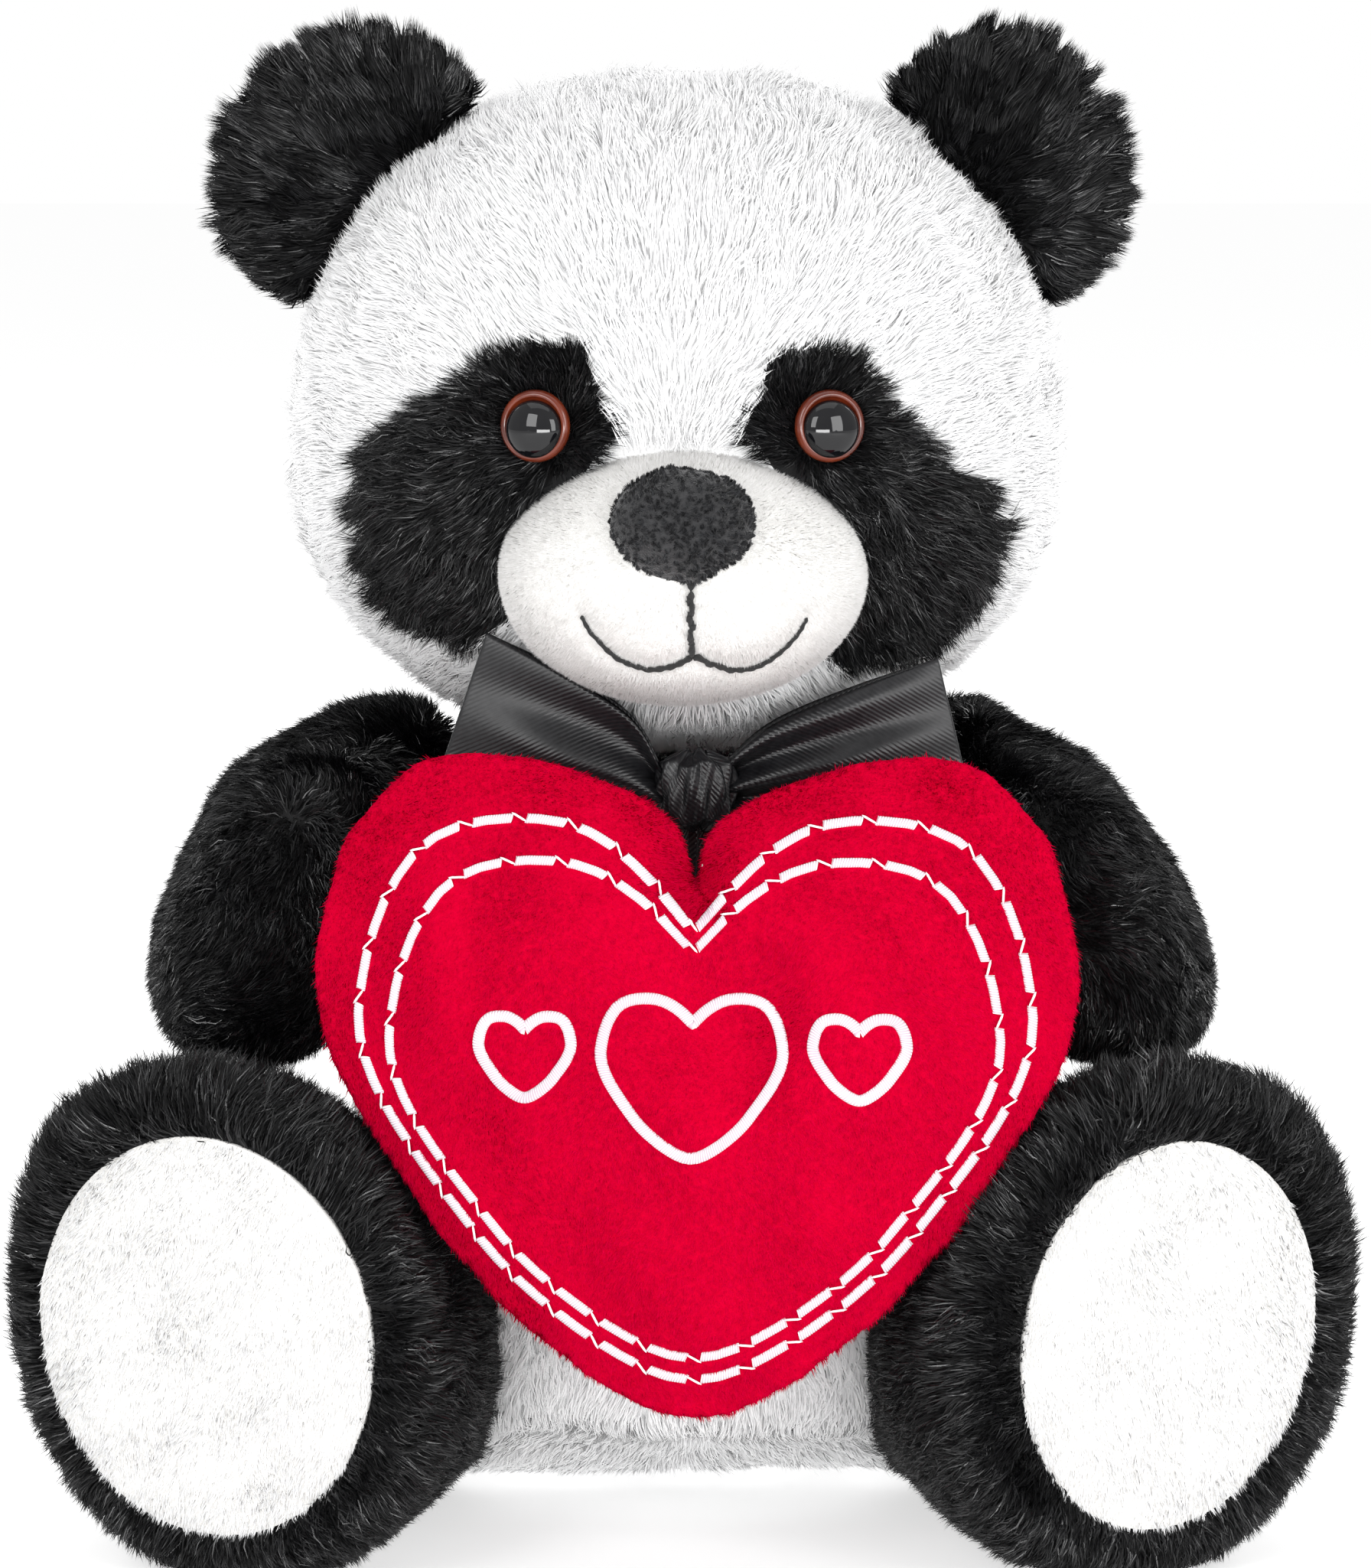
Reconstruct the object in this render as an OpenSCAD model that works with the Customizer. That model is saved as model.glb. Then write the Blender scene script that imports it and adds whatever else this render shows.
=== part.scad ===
// Sitting plush panda with a satin bow, holding a stuffed heart cushion.
// Millimetres, +Z up, the face looks along -Y. Left and right are the panda's own: left is +X.
// Curved surfaces follow the middle of the pile, so the fabric's backing lies a little deeper.

/* [Head] */
// Radius of the head's two rounded sides
head_r = 57; // [55:0.5:58]
// Distance of each side's centre from the middle
head_spread = 6.5; // [4:0.5:8]
// Height of the head's centre above the floor
head_z = 183; // [182:0.5:190]
// Half width, half depth and half height of the muzzle
muzzle_half = [31, 24, 22];
// Diameter of the coloured rim of each safety eye
eye_d = 12; // [9:0.5:14]
// Half length of an ear, measured along its seam
ear_half_l = 26; // [20:0.5:28]
// Height of an ear above its seam
ear_h = 30; // [22:0.5:32]

/* [Torso] */
// Largest radius of the torso
torso_r = 56; // [50:0.5:57]
// Height of the torso along its own axis
torso_h = 121; // [112:0.5:121]
// Backward lean of the torso
torso_lean = 11; // [8:0.5:12]
// Thickness of the plush fabric, backing and half the pile
cloth = 1.6; // [1:0.1:2]

/* [Limbs] */
// Radius of an arm where it is sewn to the shoulder
shoulder_r = 17; // [13:0.5:17]
// Radius of a leg where it is sewn to the hip
hip_r = 26; // [22:0.5:26]
// Angle of each leg outwards from straight ahead
leg_angle = 22.5; // [20:0.5:28]
// Length of a leg from the hip's centre to the sole
leg_l = 71.5; // [66:0.5:73]
// Half width, half depth and half height of a foot
foot_half = [36, 18, 42.5];
// Half width and half height of a sole
sole_half = [29, 33];
// Outward tilt of a foot's long axis
foot_tilt = 12; // [6:1:16]

/* [Heart cushion] */
// Half width of the cushion
heart_half_w = 63.5; // [58:0.5:65]
// Height of the lobes above the widest part
heart_rise = 32.7; // [29:0.1:34]
// Distance from the widest part down to the tip
heart_drop = 75; // [70:1:80]
// Half thickness of the cushion at its middle
heart_t = 17; // [12:0.5:17.5]
// Turn of the cushion about the vertical
heart_turn = -3; // [-8:1:0]
// Lean of the cushion, its tip forwards
heart_lean = 7; // [0:1:7]

/* [Ribbon] */
// Width of a bow loop from the knot to its outer edge
loop_w = 34; // [28:1:36]
// Height of a bow loop at its outer edge
loop_h = 17; // [12:1:19]

/* [Hidden] */

fine = 72;
coarse = 28;
big = 600;
// Air between a cover and its filling, and between a body and its neighbour
gap = 0.3;
joint_gap = 0.5;
// Moves the model along Y so that the origin lies at the middle of its base
to_middle = 21.09;

white = [0.93, 0.93, 0.93];
black = [0.06, 0.06, 0.065];
fibre = [0.96, 0.95, 0.92];
red = [0.78, 0.03, 0.13];
thread_white = [0.95, 0.9, 0.93];
satin = [0.07, 0.07, 0.08];

head_c = [0, 0, head_z];

// Width of the strip that runs over the head from the muzzle to the neck
gusset_w = 26;

neck_c = [0, 8, 129];
neck_r = 20;

torso_y = -12;
torso_lift = 1;
seat_top = 8;

shoulder_c = [51, 6, 116];
hip_c = [52, -22, 28];
foot_ahead = leg_l - 9.5;
foot_c = [0, -foot_ahead, 40.5 - hip_c.z];
foot_floor = 0;
leg_rise = atan2(foot_c.z, foot_ahead);
leg_inward_play = 6;

eye_x = 24;
eye_z = 186;
eye_y = -surface_depth(eye_x, eye_z);
eye_out = [eye_x - head_spread, eye_y, eye_z - head_z];
shank_r = 1.9;
dome_r = 4.7;

patch_c = [33, 171.5];
patch_r = 16.5;
patch_stretch = 9.5;
patch_tilt = 20;

muzzle_c = [0, -52, 161];
nose_c = [0, -73, 171.5];
nose_half = [12.2, 6.5, 10];

ear_z = 219.5;
ear_x = head_spread + sqrt(pow(head_r, 2) - pow(ear_z - head_z, 2));
ear_lean = 50;
ear_root_r = 5;
ear_root_l = 30;
ear_stand_off = 2;

ring_c = [0, -8, 129];
ring_half = [37, 42];
ring_w = 4.5;
ring_t = 3;
knot_c = [1, -54.5, 128];
knot_half = [5.6, 4.4, 5];
tail_l = 25;

heart_c = [2, -85.2, 101];
heart_mid = -15;
rings = 7;

// ---------- shared shapes ----------

// Depth of the head's rounded side at a place on the face
function surface_depth(x, z) =
  sqrt(pow(head_r, 2) - pow(x - head_spread, 2) - pow(z - head_z, 2));

function bezier(a, b, c, d, t) =
  pow(1 - t, 3) * a + 3 * pow(1 - t, 2) * t * b + 3 * (1 - t) * t * t * c + t * t * t * d;

module centred() {
  translate([0, to_middle, 0]) children();
}

module ellipsoid(half) {
  scale(half) sphere(r = 1, $fn = fine);
}

module ball(centre, r) {
  translate(centre) sphere(r = r, $fn = fine);
}

// Mirrors children that are drawn for the left (+X) side when side is -1
module on_side(side) {
  mirror([side < 0 ? 1 : 0, 0, 0]) children();
}

module half_space_y(sign) {
  translate([0, sign * big / 2, 0]) cube(big, center = true);
}

// ---------- torso ----------

// The torso's outline from the seat up, drawn in by inset
function torso_points(inset) =
  let (low = [for (i = [0 : 8]) bezier([40, 0], [51, 1], [torso_r, 18], [torso_r, 50], i / 8)])
  let (high = [for (i = [1 : 9])
    bezier([torso_r, 50], [torso_r, 84], [torso_r - 7, torso_h - 13], [32, torso_h], i / 9)])
  [for (p = concat(low, high)) [p.x - inset, inset + p.y * (1 - 2 * inset / torso_h)]];

module torso_solid(inset) {
  intersection() {
    translate([0, torso_y, torso_lift])
      rotate([-torso_lean, 0, 0])
        rotate_extrude($fn = fine)
          polygon(concat([[0, inset]], torso_points(inset), [[0, torso_h - inset]]));
    translate([-big / 2, -big / 2, inset]) cube(big);
  }
}

// Rods along the left arm, which together cover it where it passes the torso
// Room beside the shoulder for the inner side of the arm
module arm_room(margin) {
  ball(shoulder_c + [1, -9, -9], shoulder_r + 3 + margin);
}

// Room for the arms, legs and neck, with a margin all round
module torso_sockets(margin) {
  ball(neck_c, neck_r + margin);
  for (side = [-1, 1]) on_side(side) {
    ball(shoulder_c, shoulder_r + margin);
    arm_room(margin);
    ball(hip_c, hip_r + 0.8 + margin);
    translate(hip_c)
      rotate([0, 0, leg_angle - leg_inward_play / 2])
        rotate([90 - leg_rise, 0, 0])
          cylinder(h = 70, r1 = hip_r + 1.8 + margin, r2 = 49 + margin, $fn = fine);
  }
}

module torso_shell() {
  difference() {
    torso_solid(0);
    torso_solid(cloth);
    torso_sockets(joint_gap);
  }
}

module torso_panel(sign) {
  intersection() {
    torso_shell();
    translate([0, torso_y + 6, 0]) half_space_y(sign);
    translate([-big / 2, -big / 2, seat_top]) cube(big);
  }
}

module body_front_panel() {
  color(white) centred() torso_panel(-1);
}

module body_back_panel() {
  color(white) centred() torso_panel(1);
}

module seat_panel() {
  color(white) centred() intersection() {
    torso_shell();
    translate([-big / 2, -big / 2, seat_top - big]) cube(big);
  }
}

module body_stuffing() {
  color(fibre) centred() difference() {
    torso_solid(cloth + gap);
    ball(neck_c, neck_r + cloth + joint_gap);
    for (side = [-1, 1]) on_side(side) {
      ball(shoulder_c, shoulder_r + cloth + joint_gap);
      arm_room(cloth + joint_gap);
      ball(hip_c + [3, -3, 2], hip_r + 9);
    }
    pellets(gap);
  }
}

module pellets(grow) {
  translate([0, 12, 13]) ellipsoid([19 + grow, 19 + grow, 9 + grow]);
}

module pellet_bag() {
  color([0.85, 0.85, 0.8]) centred() pellets(0);
}

module tail() {
  color(white) centred() difference() {
    translate([0, 53, 33]) ellipsoid([11, 11, 10]);
    torso_solid(0);
  }
}

module care_label() {
  color([0.97, 0.97, 0.97]) centred()
    translate([0, torso_y + 7, 34])
      rotate([0, 0, 52])
        translate([torso_r + 2.2, 0, 0]) cube([0.8, 14, 18], center = true);
}

module neck_stuffing() {
  color(fibre) centred() ball(neck_c, neck_r);
}

// ---------- head ----------

// Two balls side by side with a short drum between them
module head_solid(inset) {
  r = head_r - inset;
  translate(head_c) rotate([0, 90, 0]) rotate_extrude($fn = fine) intersection() {
    union() {
      for (end = [-1, 1]) translate([0, end * head_spread]) circle(r = r, $fn = fine);
      translate([0, -head_spread]) square([r, 2 * head_spread]);
    }
    translate([0, -big / 2]) square(big);
  }
}

module place_ear(side) {
  on_side(side) translate([ear_x, 0, ear_z]) rotate([0, ear_lean, 0]) children();
}

module ear_root(margin) {
  rotate([0, 90, 0])
    cylinder(h = ear_root_l + 2 * margin, r = ear_root_r + margin, center = true, $fn = fine);
}

// Prism through the face with an eye patch's outline, on the left side
module patch_prism() {
  translate([patch_c.x, 0, patch_c.y]) rotate([0, patch_tilt, 0]) rotate([90, 0, 0])
    linear_extrude(height = big / 2) {
      for (end = [-1, 1]) translate([0, end * patch_stretch]) circle(r = patch_r, $fn = fine);
      square([2 * patch_r, 2 * patch_stretch], center = true);
    }
}

// Local Z points straight out of the head at the eye
module place_eye(side) {
  on_side(side) translate([eye_x, eye_y, eye_z])
    rotate([0, acos(eye_out.z / norm(eye_out)), atan2(eye_out.y, eye_out.x)]) children();
}

module eye_hole(r, depth) {
  place_eye(1) translate([0, 0, -depth]) cylinder(h = depth + 4, r = r, $fn = fine);
}

module head_shell() {
  difference() {
    head_solid(0);
    head_solid(cloth);
    ball(neck_c, neck_r + joint_gap);
  }
}

module head_slab(from_x, to_x) {
  translate([from_x, -big / 2, 0]) cube([to_x - from_x, big, big]);
}

module head_side(side) {
  color(white) centred() on_side(side) difference() {
    intersection() {
      head_shell();
      head_slab(gusset_w / 2, big / 2);
    }
    patch_prism();
    place_ear(1) ear_root(joint_gap);
  }
}

module head_gusset() {
  color(white) centred() intersection() {
    head_shell();
    head_slab(-gusset_w / 2, gusset_w / 2);
  }
}

module head_stuffing() {
  color(fibre) centred() difference() {
    head_solid(cloth + gap);
    ball(neck_c, neck_r + cloth + joint_gap);
    for (side = [-1, 1]) place_ear(side) ear_root(cloth + joint_gap);
    for (side = [-1, 1]) on_side(side) eye_hole(7.6, 13);
  }
}

module eye_patch(side) {
  color(black) centred() on_side(side) difference() {
    intersection() {
      head_shell();
      patch_prism();
    }
    eye_hole(shank_r + 0.1, 4);
  }
}

module muzzle_solid(inset) {
  translate(muzzle_c) ellipsoid(muzzle_half - [inset, inset, inset]);
}

module muzzle_cover() {
  color([0.94, 0.93, 0.91]) centred() difference() {
    muzzle_solid(0);
    muzzle_solid(cloth);
    head_solid(-0.1);
    nose_solid(0.1);
  }
}

module muzzle_stuffing() {
  color(fibre) centred() difference() {
    muzzle_solid(cloth + gap);
    head_solid(-0.2);
    nose_solid(gap);
  }
}

module nose_solid(grow) {
  translate(nose_c) ellipsoid(nose_half + [grow, grow, grow]);
}

module nose() {
  color([0.17, 0.17, 0.18]) centred() nose_solid(0);
}

mouth_r = 11.8;
mouth_x = 6.7;
mouth_z = 160.2;
thread_w = 1.1;

module mouth_drawing() {
  translate([-thread_w / 2, 150]) square([thread_w, 12]);
  for (side = [-1, 1]) translate([side * mouth_x, mouth_z])
    intersection() {
      difference() {
        circle(r = mouth_r + thread_w / 2, $fn = fine);
        circle(r = mouth_r - thread_w / 2, $fn = fine);
      }
      polygon([[0, 0], [-side * 12, -18], [side * 2, -18], [side * 24, -9]]);
    }
}

module mouth_stitching() {
  color(black) centred() difference() {
    intersection() {
      muzzle_solid(-0.5);
      translate([0, -40, 0]) rotate([90, 0, 0]) linear_extrude(height = 60) mouth_drawing();
    }
    muzzle_solid(-0.05);
    nose_solid(0.1);
  }
}

module eye_rim(side) {
  color([0.45, 0.16, 0.08]) centred() place_eye(side) rotate_extrude($fn = fine)
    polygon([
      [0, -12], [shank_r, -12], [shank_r, 0], [eye_d / 2 - 0.6, 0], [eye_d / 2, 0.6],
      [eye_d / 2 - 0.3, 1.6], [dome_r + 0.1, 2], [dome_r + 0.1, 1], [0, 1]
    ]);
}

module eye_dome(side) {
  color([0.02, 0.02, 0.02]) centred() place_eye(side) intersection() {
    translate([0, 0, -1.6]) sphere(r = 6, $fn = fine);
    translate([0, 0, 1]) cylinder(h = 6, r = dome_r, $fn = fine);
  }
}

module eye_washer(side) {
  color([0.2, 0.2, 0.2]) centred() place_eye(side) translate([0, 0, -4.4]) difference() {
    cylinder(h = 1.4, r = 7, $fn = fine);
    translate([0, 0, -1]) cylinder(h = 4, r = shank_r + 0.05, $fn = fine);
  }
}

// ---------- ears ----------

module ear_solid(side) {
  difference() {
    place_ear(side) translate([0, 0, ear_h - 24]) ellipsoid([ear_half_l, 7, 24]);
    head_solid(-ear_stand_off);
  }
  place_ear(side) ear_root(0);
}

module ear_half(side, sign) {
  color(black) centred() intersection() {
    ear_solid(side);
    half_space_y(sign);
  }
}

// ---------- ribbon ----------

module neck_ribbon() {
  color(satin) centred() translate(ring_c) linear_extrude(height = ring_t, center = true)
    difference() {
      scale(ring_half) circle(r = 1, $fn = fine);
      scale(ring_half - [ring_w, ring_w]) circle(r = 1, $fn = fine);
    }
}

module bow_knot() {
  color(satin) centred() translate(knot_c) ellipsoid(knot_half);
}

module bow_loop(side) {
  color(satin) centred() hull() {
    translate([knot_c.x + side * 7.8, -54.5, 128.5]) sphere(r = 1.8, $fn = 20);
    translate([knot_c.x + side * loop_w, -52.5, 131.5 + loop_h]) sphere(r = 2.2, $fn = 20);
    translate([knot_c.x + side * (loop_w + 5), -50.5, 132]) sphere(r = 2.2, $fn = 20);
  }
}

module ribbon_tail(side) {
  color(satin) centred() translate([knot_c.x + side * 3, -53.2 + side, 122.4])
    rotate([0, side * 16, 0])
      translate([side * 6.4, 0, -tail_l / 2 - 2]) cube([12, 1.4, tail_l], center = true);
}

// ---------- arms ----------

// Ball centres and radii that an arm is stretched over, on the left side
arm_balls = [
  [shoulder_c, shoulder_r],
  [[68, -2, 111], 15],
  [[72, -6, 95], 16],
  [[69, -44, 112], 14],
  [[69, -44, 94], 16.5]
];

module arm_solid(inset) {
  hull() for (b = arm_balls) translate(b[0]) sphere(r = b[1] - inset, $fn = coarse);
}

module arm_cover(side) {
  color(black) centred() on_side(side) difference() {
    arm_solid(0);
    arm_solid(cloth);
  }
}

module arm_stuffing(side) {
  color(fibre) centred() on_side(side) arm_solid(cloth + gap);
}

// ---------- legs ----------

// Origin at the hip's centre, the leg points along -Y
module place_leg(side) {
  on_side(side) translate(hip_c) rotate([0, 0, leg_angle]) children();
}

module leg_solid(inset) {
  hull() {
    sphere(r = hip_r - inset, $fn = coarse);
    translate(foot_c) rotate([0, foot_tilt, 0])
      scale(foot_half - [inset, inset, inset]) sphere(r = 1, $fn = coarse + 8);
  }
}

module leg_block(inset, front) {
  translate([-big / 2, -front, inset - hip_c.z]) cube(big);
}

module leg_cover(side) {
  color(black) centred() place_leg(side) intersection() {
    difference() {
      leg_solid(0);
      intersection() {
        leg_solid(cloth);
        leg_block(cloth, big / 2);
      }
    }
    leg_block(foot_floor, leg_l);
  }
}

module leg_stuffing(side) {
  color(fibre) centred() place_leg(side) intersection() {
    leg_solid(cloth + gap);
    leg_block(cloth + gap, leg_l - gap);
  }
}

module foot_sole(side) {
  color(white) centred() place_leg(side) translate([0, -leg_l, foot_c.z])
    rotate([0, foot_tilt, 0]) rotate([90, 0, 0])
      linear_extrude(height = 1.5)
        scale(sole_half) circle(r = 1, $fn = fine);
}

// ---------- heart cushion ----------

// The right half from the notch to the tip, as shares of the half width and of the rise or drop
heart_curve = [
  [0.053, 0.608], [0.111, 0.71], [0.175, 0.8], [0.243, 0.877], [0.315, 0.939],
  [0.39, 0.98], [0.468, 0.998], [0.546, 1], [0.625, 0.987], [0.701, 0.956],
  [0.774, 0.898], [0.836, 0.806], [0.885, 0.685], [0.924, 0.552], [0.954, 0.409],
  [0.976, 0.261], [0.991, 0.11], [1, -0.018], [0.996, -0.081], [0.979, -0.144],
  [0.954, -0.204], [0.922, -0.262], [0.885, -0.319], [0.845, -0.373], [0.802, -0.427],
  [0.758, -0.48], [0.713, -0.532], [0.668, -0.584], [0.623, -0.636], [0.574, -0.686],
  [0.521, -0.733], [0.465, -0.778], [0.406, -0.82], [0.346, -0.861], [0.283, -0.899],
  [0.218, -0.934], [0.15, -0.966], [0.077, -0.99]
];
notch_share = 0.51;

function heart_half() = concat(
  [[0, notch_share * heart_rise]],
  [for (p = heart_curve) [p.x * heart_half_w, p.y * (p.y > 0 ? heart_rise : heart_drop)]],
  [[0, -heart_drop]]
);

// The heart's outline, clockwise from the notch
function heart_outline() =
  let (h = heart_half(), n = len(h))
  concat(h, [for (i = [n - 2 : -1 : 1]) [-h[i].x, h[i].y]]);

// Height of the cushion's dome at a share of the way from the middle to the edge
function dome(share) = heart_t * pow(1 - pow(share, 2.5), 0.6);

outline = heart_outline();
sides = len(outline);
shares = [for (k = [1 : rings]) sin(90 * k / rings)];

// Rings of points on one dome, its apex last; wide and tall scale the dome
function dome_points(wide, tall) = concat(
  [for (s = shares, p = outline)
    [p.x * s * wide, -dome(s) * tall, heart_mid + (p.y - heart_mid) * s * wide]],
  [[0, -heart_t * tall, heart_mid]]
);

function band(a, b) = [for (i = [0 : sides - 1]) each
  let (j = (i + 1) % sides)
  [[a + i, a + j, b + j], [a + i, b + j, b + i]]];

function dome_faces(start) = concat(
  [for (k = [0 : rings - 2]) each band(start + k * sides, start + (k + 1) * sides)],
  [for (i = [0 : sides - 1]) [start + i, start + rings * sides, start + (i + 1) % sides]]
);

function flipped(faces) = [for (f = faces) [f[2], f[1], f[0]]];

// One panel of the cushion: a thin dome in front of the seam's plane
module heart_panel_solid() {
  inner = rings * sides + 1;
  edge = (rings - 1) * sides;
  polyhedron(
    points = concat(dome_points(1, 1), dome_points(0.975, 0.92)),
    faces = concat(dome_faces(0), flipped(dome_faces(inner)), band(edge, inner + edge))
  );
}

// The front half of the cushion as one solid, or of a copy scaled by wide and tall
module half_cushion(wide, tall) {
  polyhedron(
    points = dome_points(wide, tall),
    faces = concat(dome_faces(0), [[for (i = [sides - 1 : -1 : 0]) (rings - 1) * sides + i]])
  );
}

module place_heart() {
  centred() translate(heart_c) rotate([-heart_lean, 0, heart_turn]) children();
}

module heart_front_panel() {
  color(red) place_heart() heart_panel_solid();
}

module heart_back_panel() {
  color(red) place_heart() mirror([0, 1, 0]) heart_panel_solid();
}

module heart_stuffing() {
  color(fibre) place_heart() {
    half_cushion(0.965, 0.89);
    mirror([0, 1, 0]) half_cushion(0.965, 0.89);
  }
}

// Keeps what lies on the front dome, in a layer 0.6 thick
module on_dome() {
  difference() {
    intersection() {
      half_cushion(1.01, 1.04);
      rotate([90, 0, 0]) linear_extrude(height = 2 * heart_t) children();
    }
    half_cushion(1.0005, 1.002);
  }
}

stitch_gap = 2.1;
stitch_w = 1.6;

// One row of dashes along a heart that is wide and tall times as large, moved by lower
module stitch_row(wide, tall, lower) {
  points = [for (p = outline) [p.x * wide, p.y * (p.y < 0 ? tall : wide) - lower]];
  for (i = [0 : 2 : sides - 2]) {
    a = points[i];
    b = points[(i + 2) % sides];
    along = b - a;
    translate((a + b) / 2)
      rotate(atan2(along.y, along.x))
        square([norm(along) - stitch_gap, stitch_w], center = true);
  }
}

module heart_border_stitching() {
  color(thread_white) place_heart() on_dome() {
    stitch_row(0.875, 0.875, 2.2);
    stitch_row(0.795, 0.755, 5.2);
  }
}

// A small heart drawn as a line
module small_heart(size) {
  difference() {
    scale(size / heart_rise) polygon(outline);
    scale((size - stitch_w) / heart_rise) polygon(outline);
  }
}

motif_z = -16;

module heart_motif_stitching() {
  color(thread_white) place_heart() on_dome() {
    translate([0, motif_z + 3]) small_heart(9);
    for (side = [-1, 1]) translate([side * 27, motif_z + 4]) small_heart(5);
  }
}

// ---------- nodes ----------

body_front_panel();
body_back_panel();
seat_panel();
body_stuffing();
pellet_bag();
tail();
care_label();
neck_stuffing();
head_side(1);  // head_side_left
head_side(-1);  // head_side_right
head_gusset();
head_stuffing();
eye_patch(1);  // eye_patch_left
eye_patch(-1);  // eye_patch_right
muzzle_cover();
muzzle_stuffing();
nose();
mouth_stitching();
eye_rim(1);  // eye_rim_left
eye_rim(-1);  // eye_rim_right
eye_dome(1);  // eye_dome_left
eye_dome(-1);  // eye_dome_right
eye_washer(1);  // eye_washer_left
eye_washer(-1);  // eye_washer_right
ear_half(1, -1);  // ear_front_left
ear_half(-1, -1);  // ear_front_right
ear_half(1, 1);  // ear_back_left
ear_half(-1, 1);  // ear_back_right
neck_ribbon();
bow_knot();
bow_loop(1);  // bow_loop_left
bow_loop(-1);  // bow_loop_right
ribbon_tail(1);  // ribbon_tail_left
ribbon_tail(-1);  // ribbon_tail_right
arm_cover(1);  // arm_cover_left
arm_cover(-1);  // arm_cover_right
arm_stuffing(1);  // arm_stuffing_left
arm_stuffing(-1);  // arm_stuffing_right
leg_cover(1);  // leg_cover_left
leg_cover(-1);  // leg_cover_right
leg_stuffing(1);  // leg_stuffing_left
leg_stuffing(-1);  // leg_stuffing_right
foot_sole(1);  // foot_sole_left
foot_sole(-1);  // foot_sole_right
heart_front_panel();
heart_back_panel();
heart_stuffing();
heart_border_stitching();
heart_motif_stitching();
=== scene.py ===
"""Sitting plush panda with a satin bow, holding a stuffed heart cushion.

Shapes are worked out in millimetres in the design frame of part.scad (before its move along Y)
and turned into metres of the shared frame when a mesh is made.
"""
import math

import bmesh
import bpy
import numpy as np
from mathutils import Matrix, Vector, geometry, kdtree
from mathutils.bvhtree import BVHTree


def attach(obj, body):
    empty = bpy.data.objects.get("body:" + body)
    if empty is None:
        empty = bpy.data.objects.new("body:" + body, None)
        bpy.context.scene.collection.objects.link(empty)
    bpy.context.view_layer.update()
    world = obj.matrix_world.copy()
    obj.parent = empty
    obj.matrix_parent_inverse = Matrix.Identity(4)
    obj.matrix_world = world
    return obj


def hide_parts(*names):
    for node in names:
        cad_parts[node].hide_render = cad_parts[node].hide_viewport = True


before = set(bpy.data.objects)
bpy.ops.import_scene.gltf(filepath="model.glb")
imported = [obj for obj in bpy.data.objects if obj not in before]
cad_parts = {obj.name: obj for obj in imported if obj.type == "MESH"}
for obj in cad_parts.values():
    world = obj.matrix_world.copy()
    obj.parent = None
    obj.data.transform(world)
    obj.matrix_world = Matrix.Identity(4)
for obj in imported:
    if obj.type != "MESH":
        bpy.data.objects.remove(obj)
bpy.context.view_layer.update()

SHIFT = np.array([0.0, 21.09, 0.0])
FLOOR_CLEAR = 0.25

# ---------------------------------------------------------------- camera, floor and light


def add_camera():
    cam = bpy.data.cameras.new("camera")
    cam.lens = 200.6
    cam.sensor_width = 36.0
    cam.clip_end = 10.0
    ob = bpy.data.objects.new("camera", cam)
    bpy.context.collection.objects.link(ob)
    target = Vector((0.0005, 0.02109, 0.1189))
    tilt = math.radians(8)
    ob.location = target + 1.5 * Vector((0, -math.cos(tilt), math.sin(tilt)))
    ob.rotation_euler = (target - ob.location).to_track_quat("-Z", "Y").to_euler()
    bpy.context.scene.camera = ob


def add_light(name, place, aim, size, watts, colour=(1, 1, 1)):
    light = bpy.data.lights.new(name, "AREA")
    light.shape = "RECTANGLE"
    light.size, light.size_y = size
    light.energy = watts
    light.color = colour
    ob = bpy.data.objects.new(name, light)
    bpy.context.collection.objects.link(ob)
    ob.location = place
    ob.rotation_euler = (Vector(aim) - Vector(place)).to_track_quat("-Z", "Y").to_euler()


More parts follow.
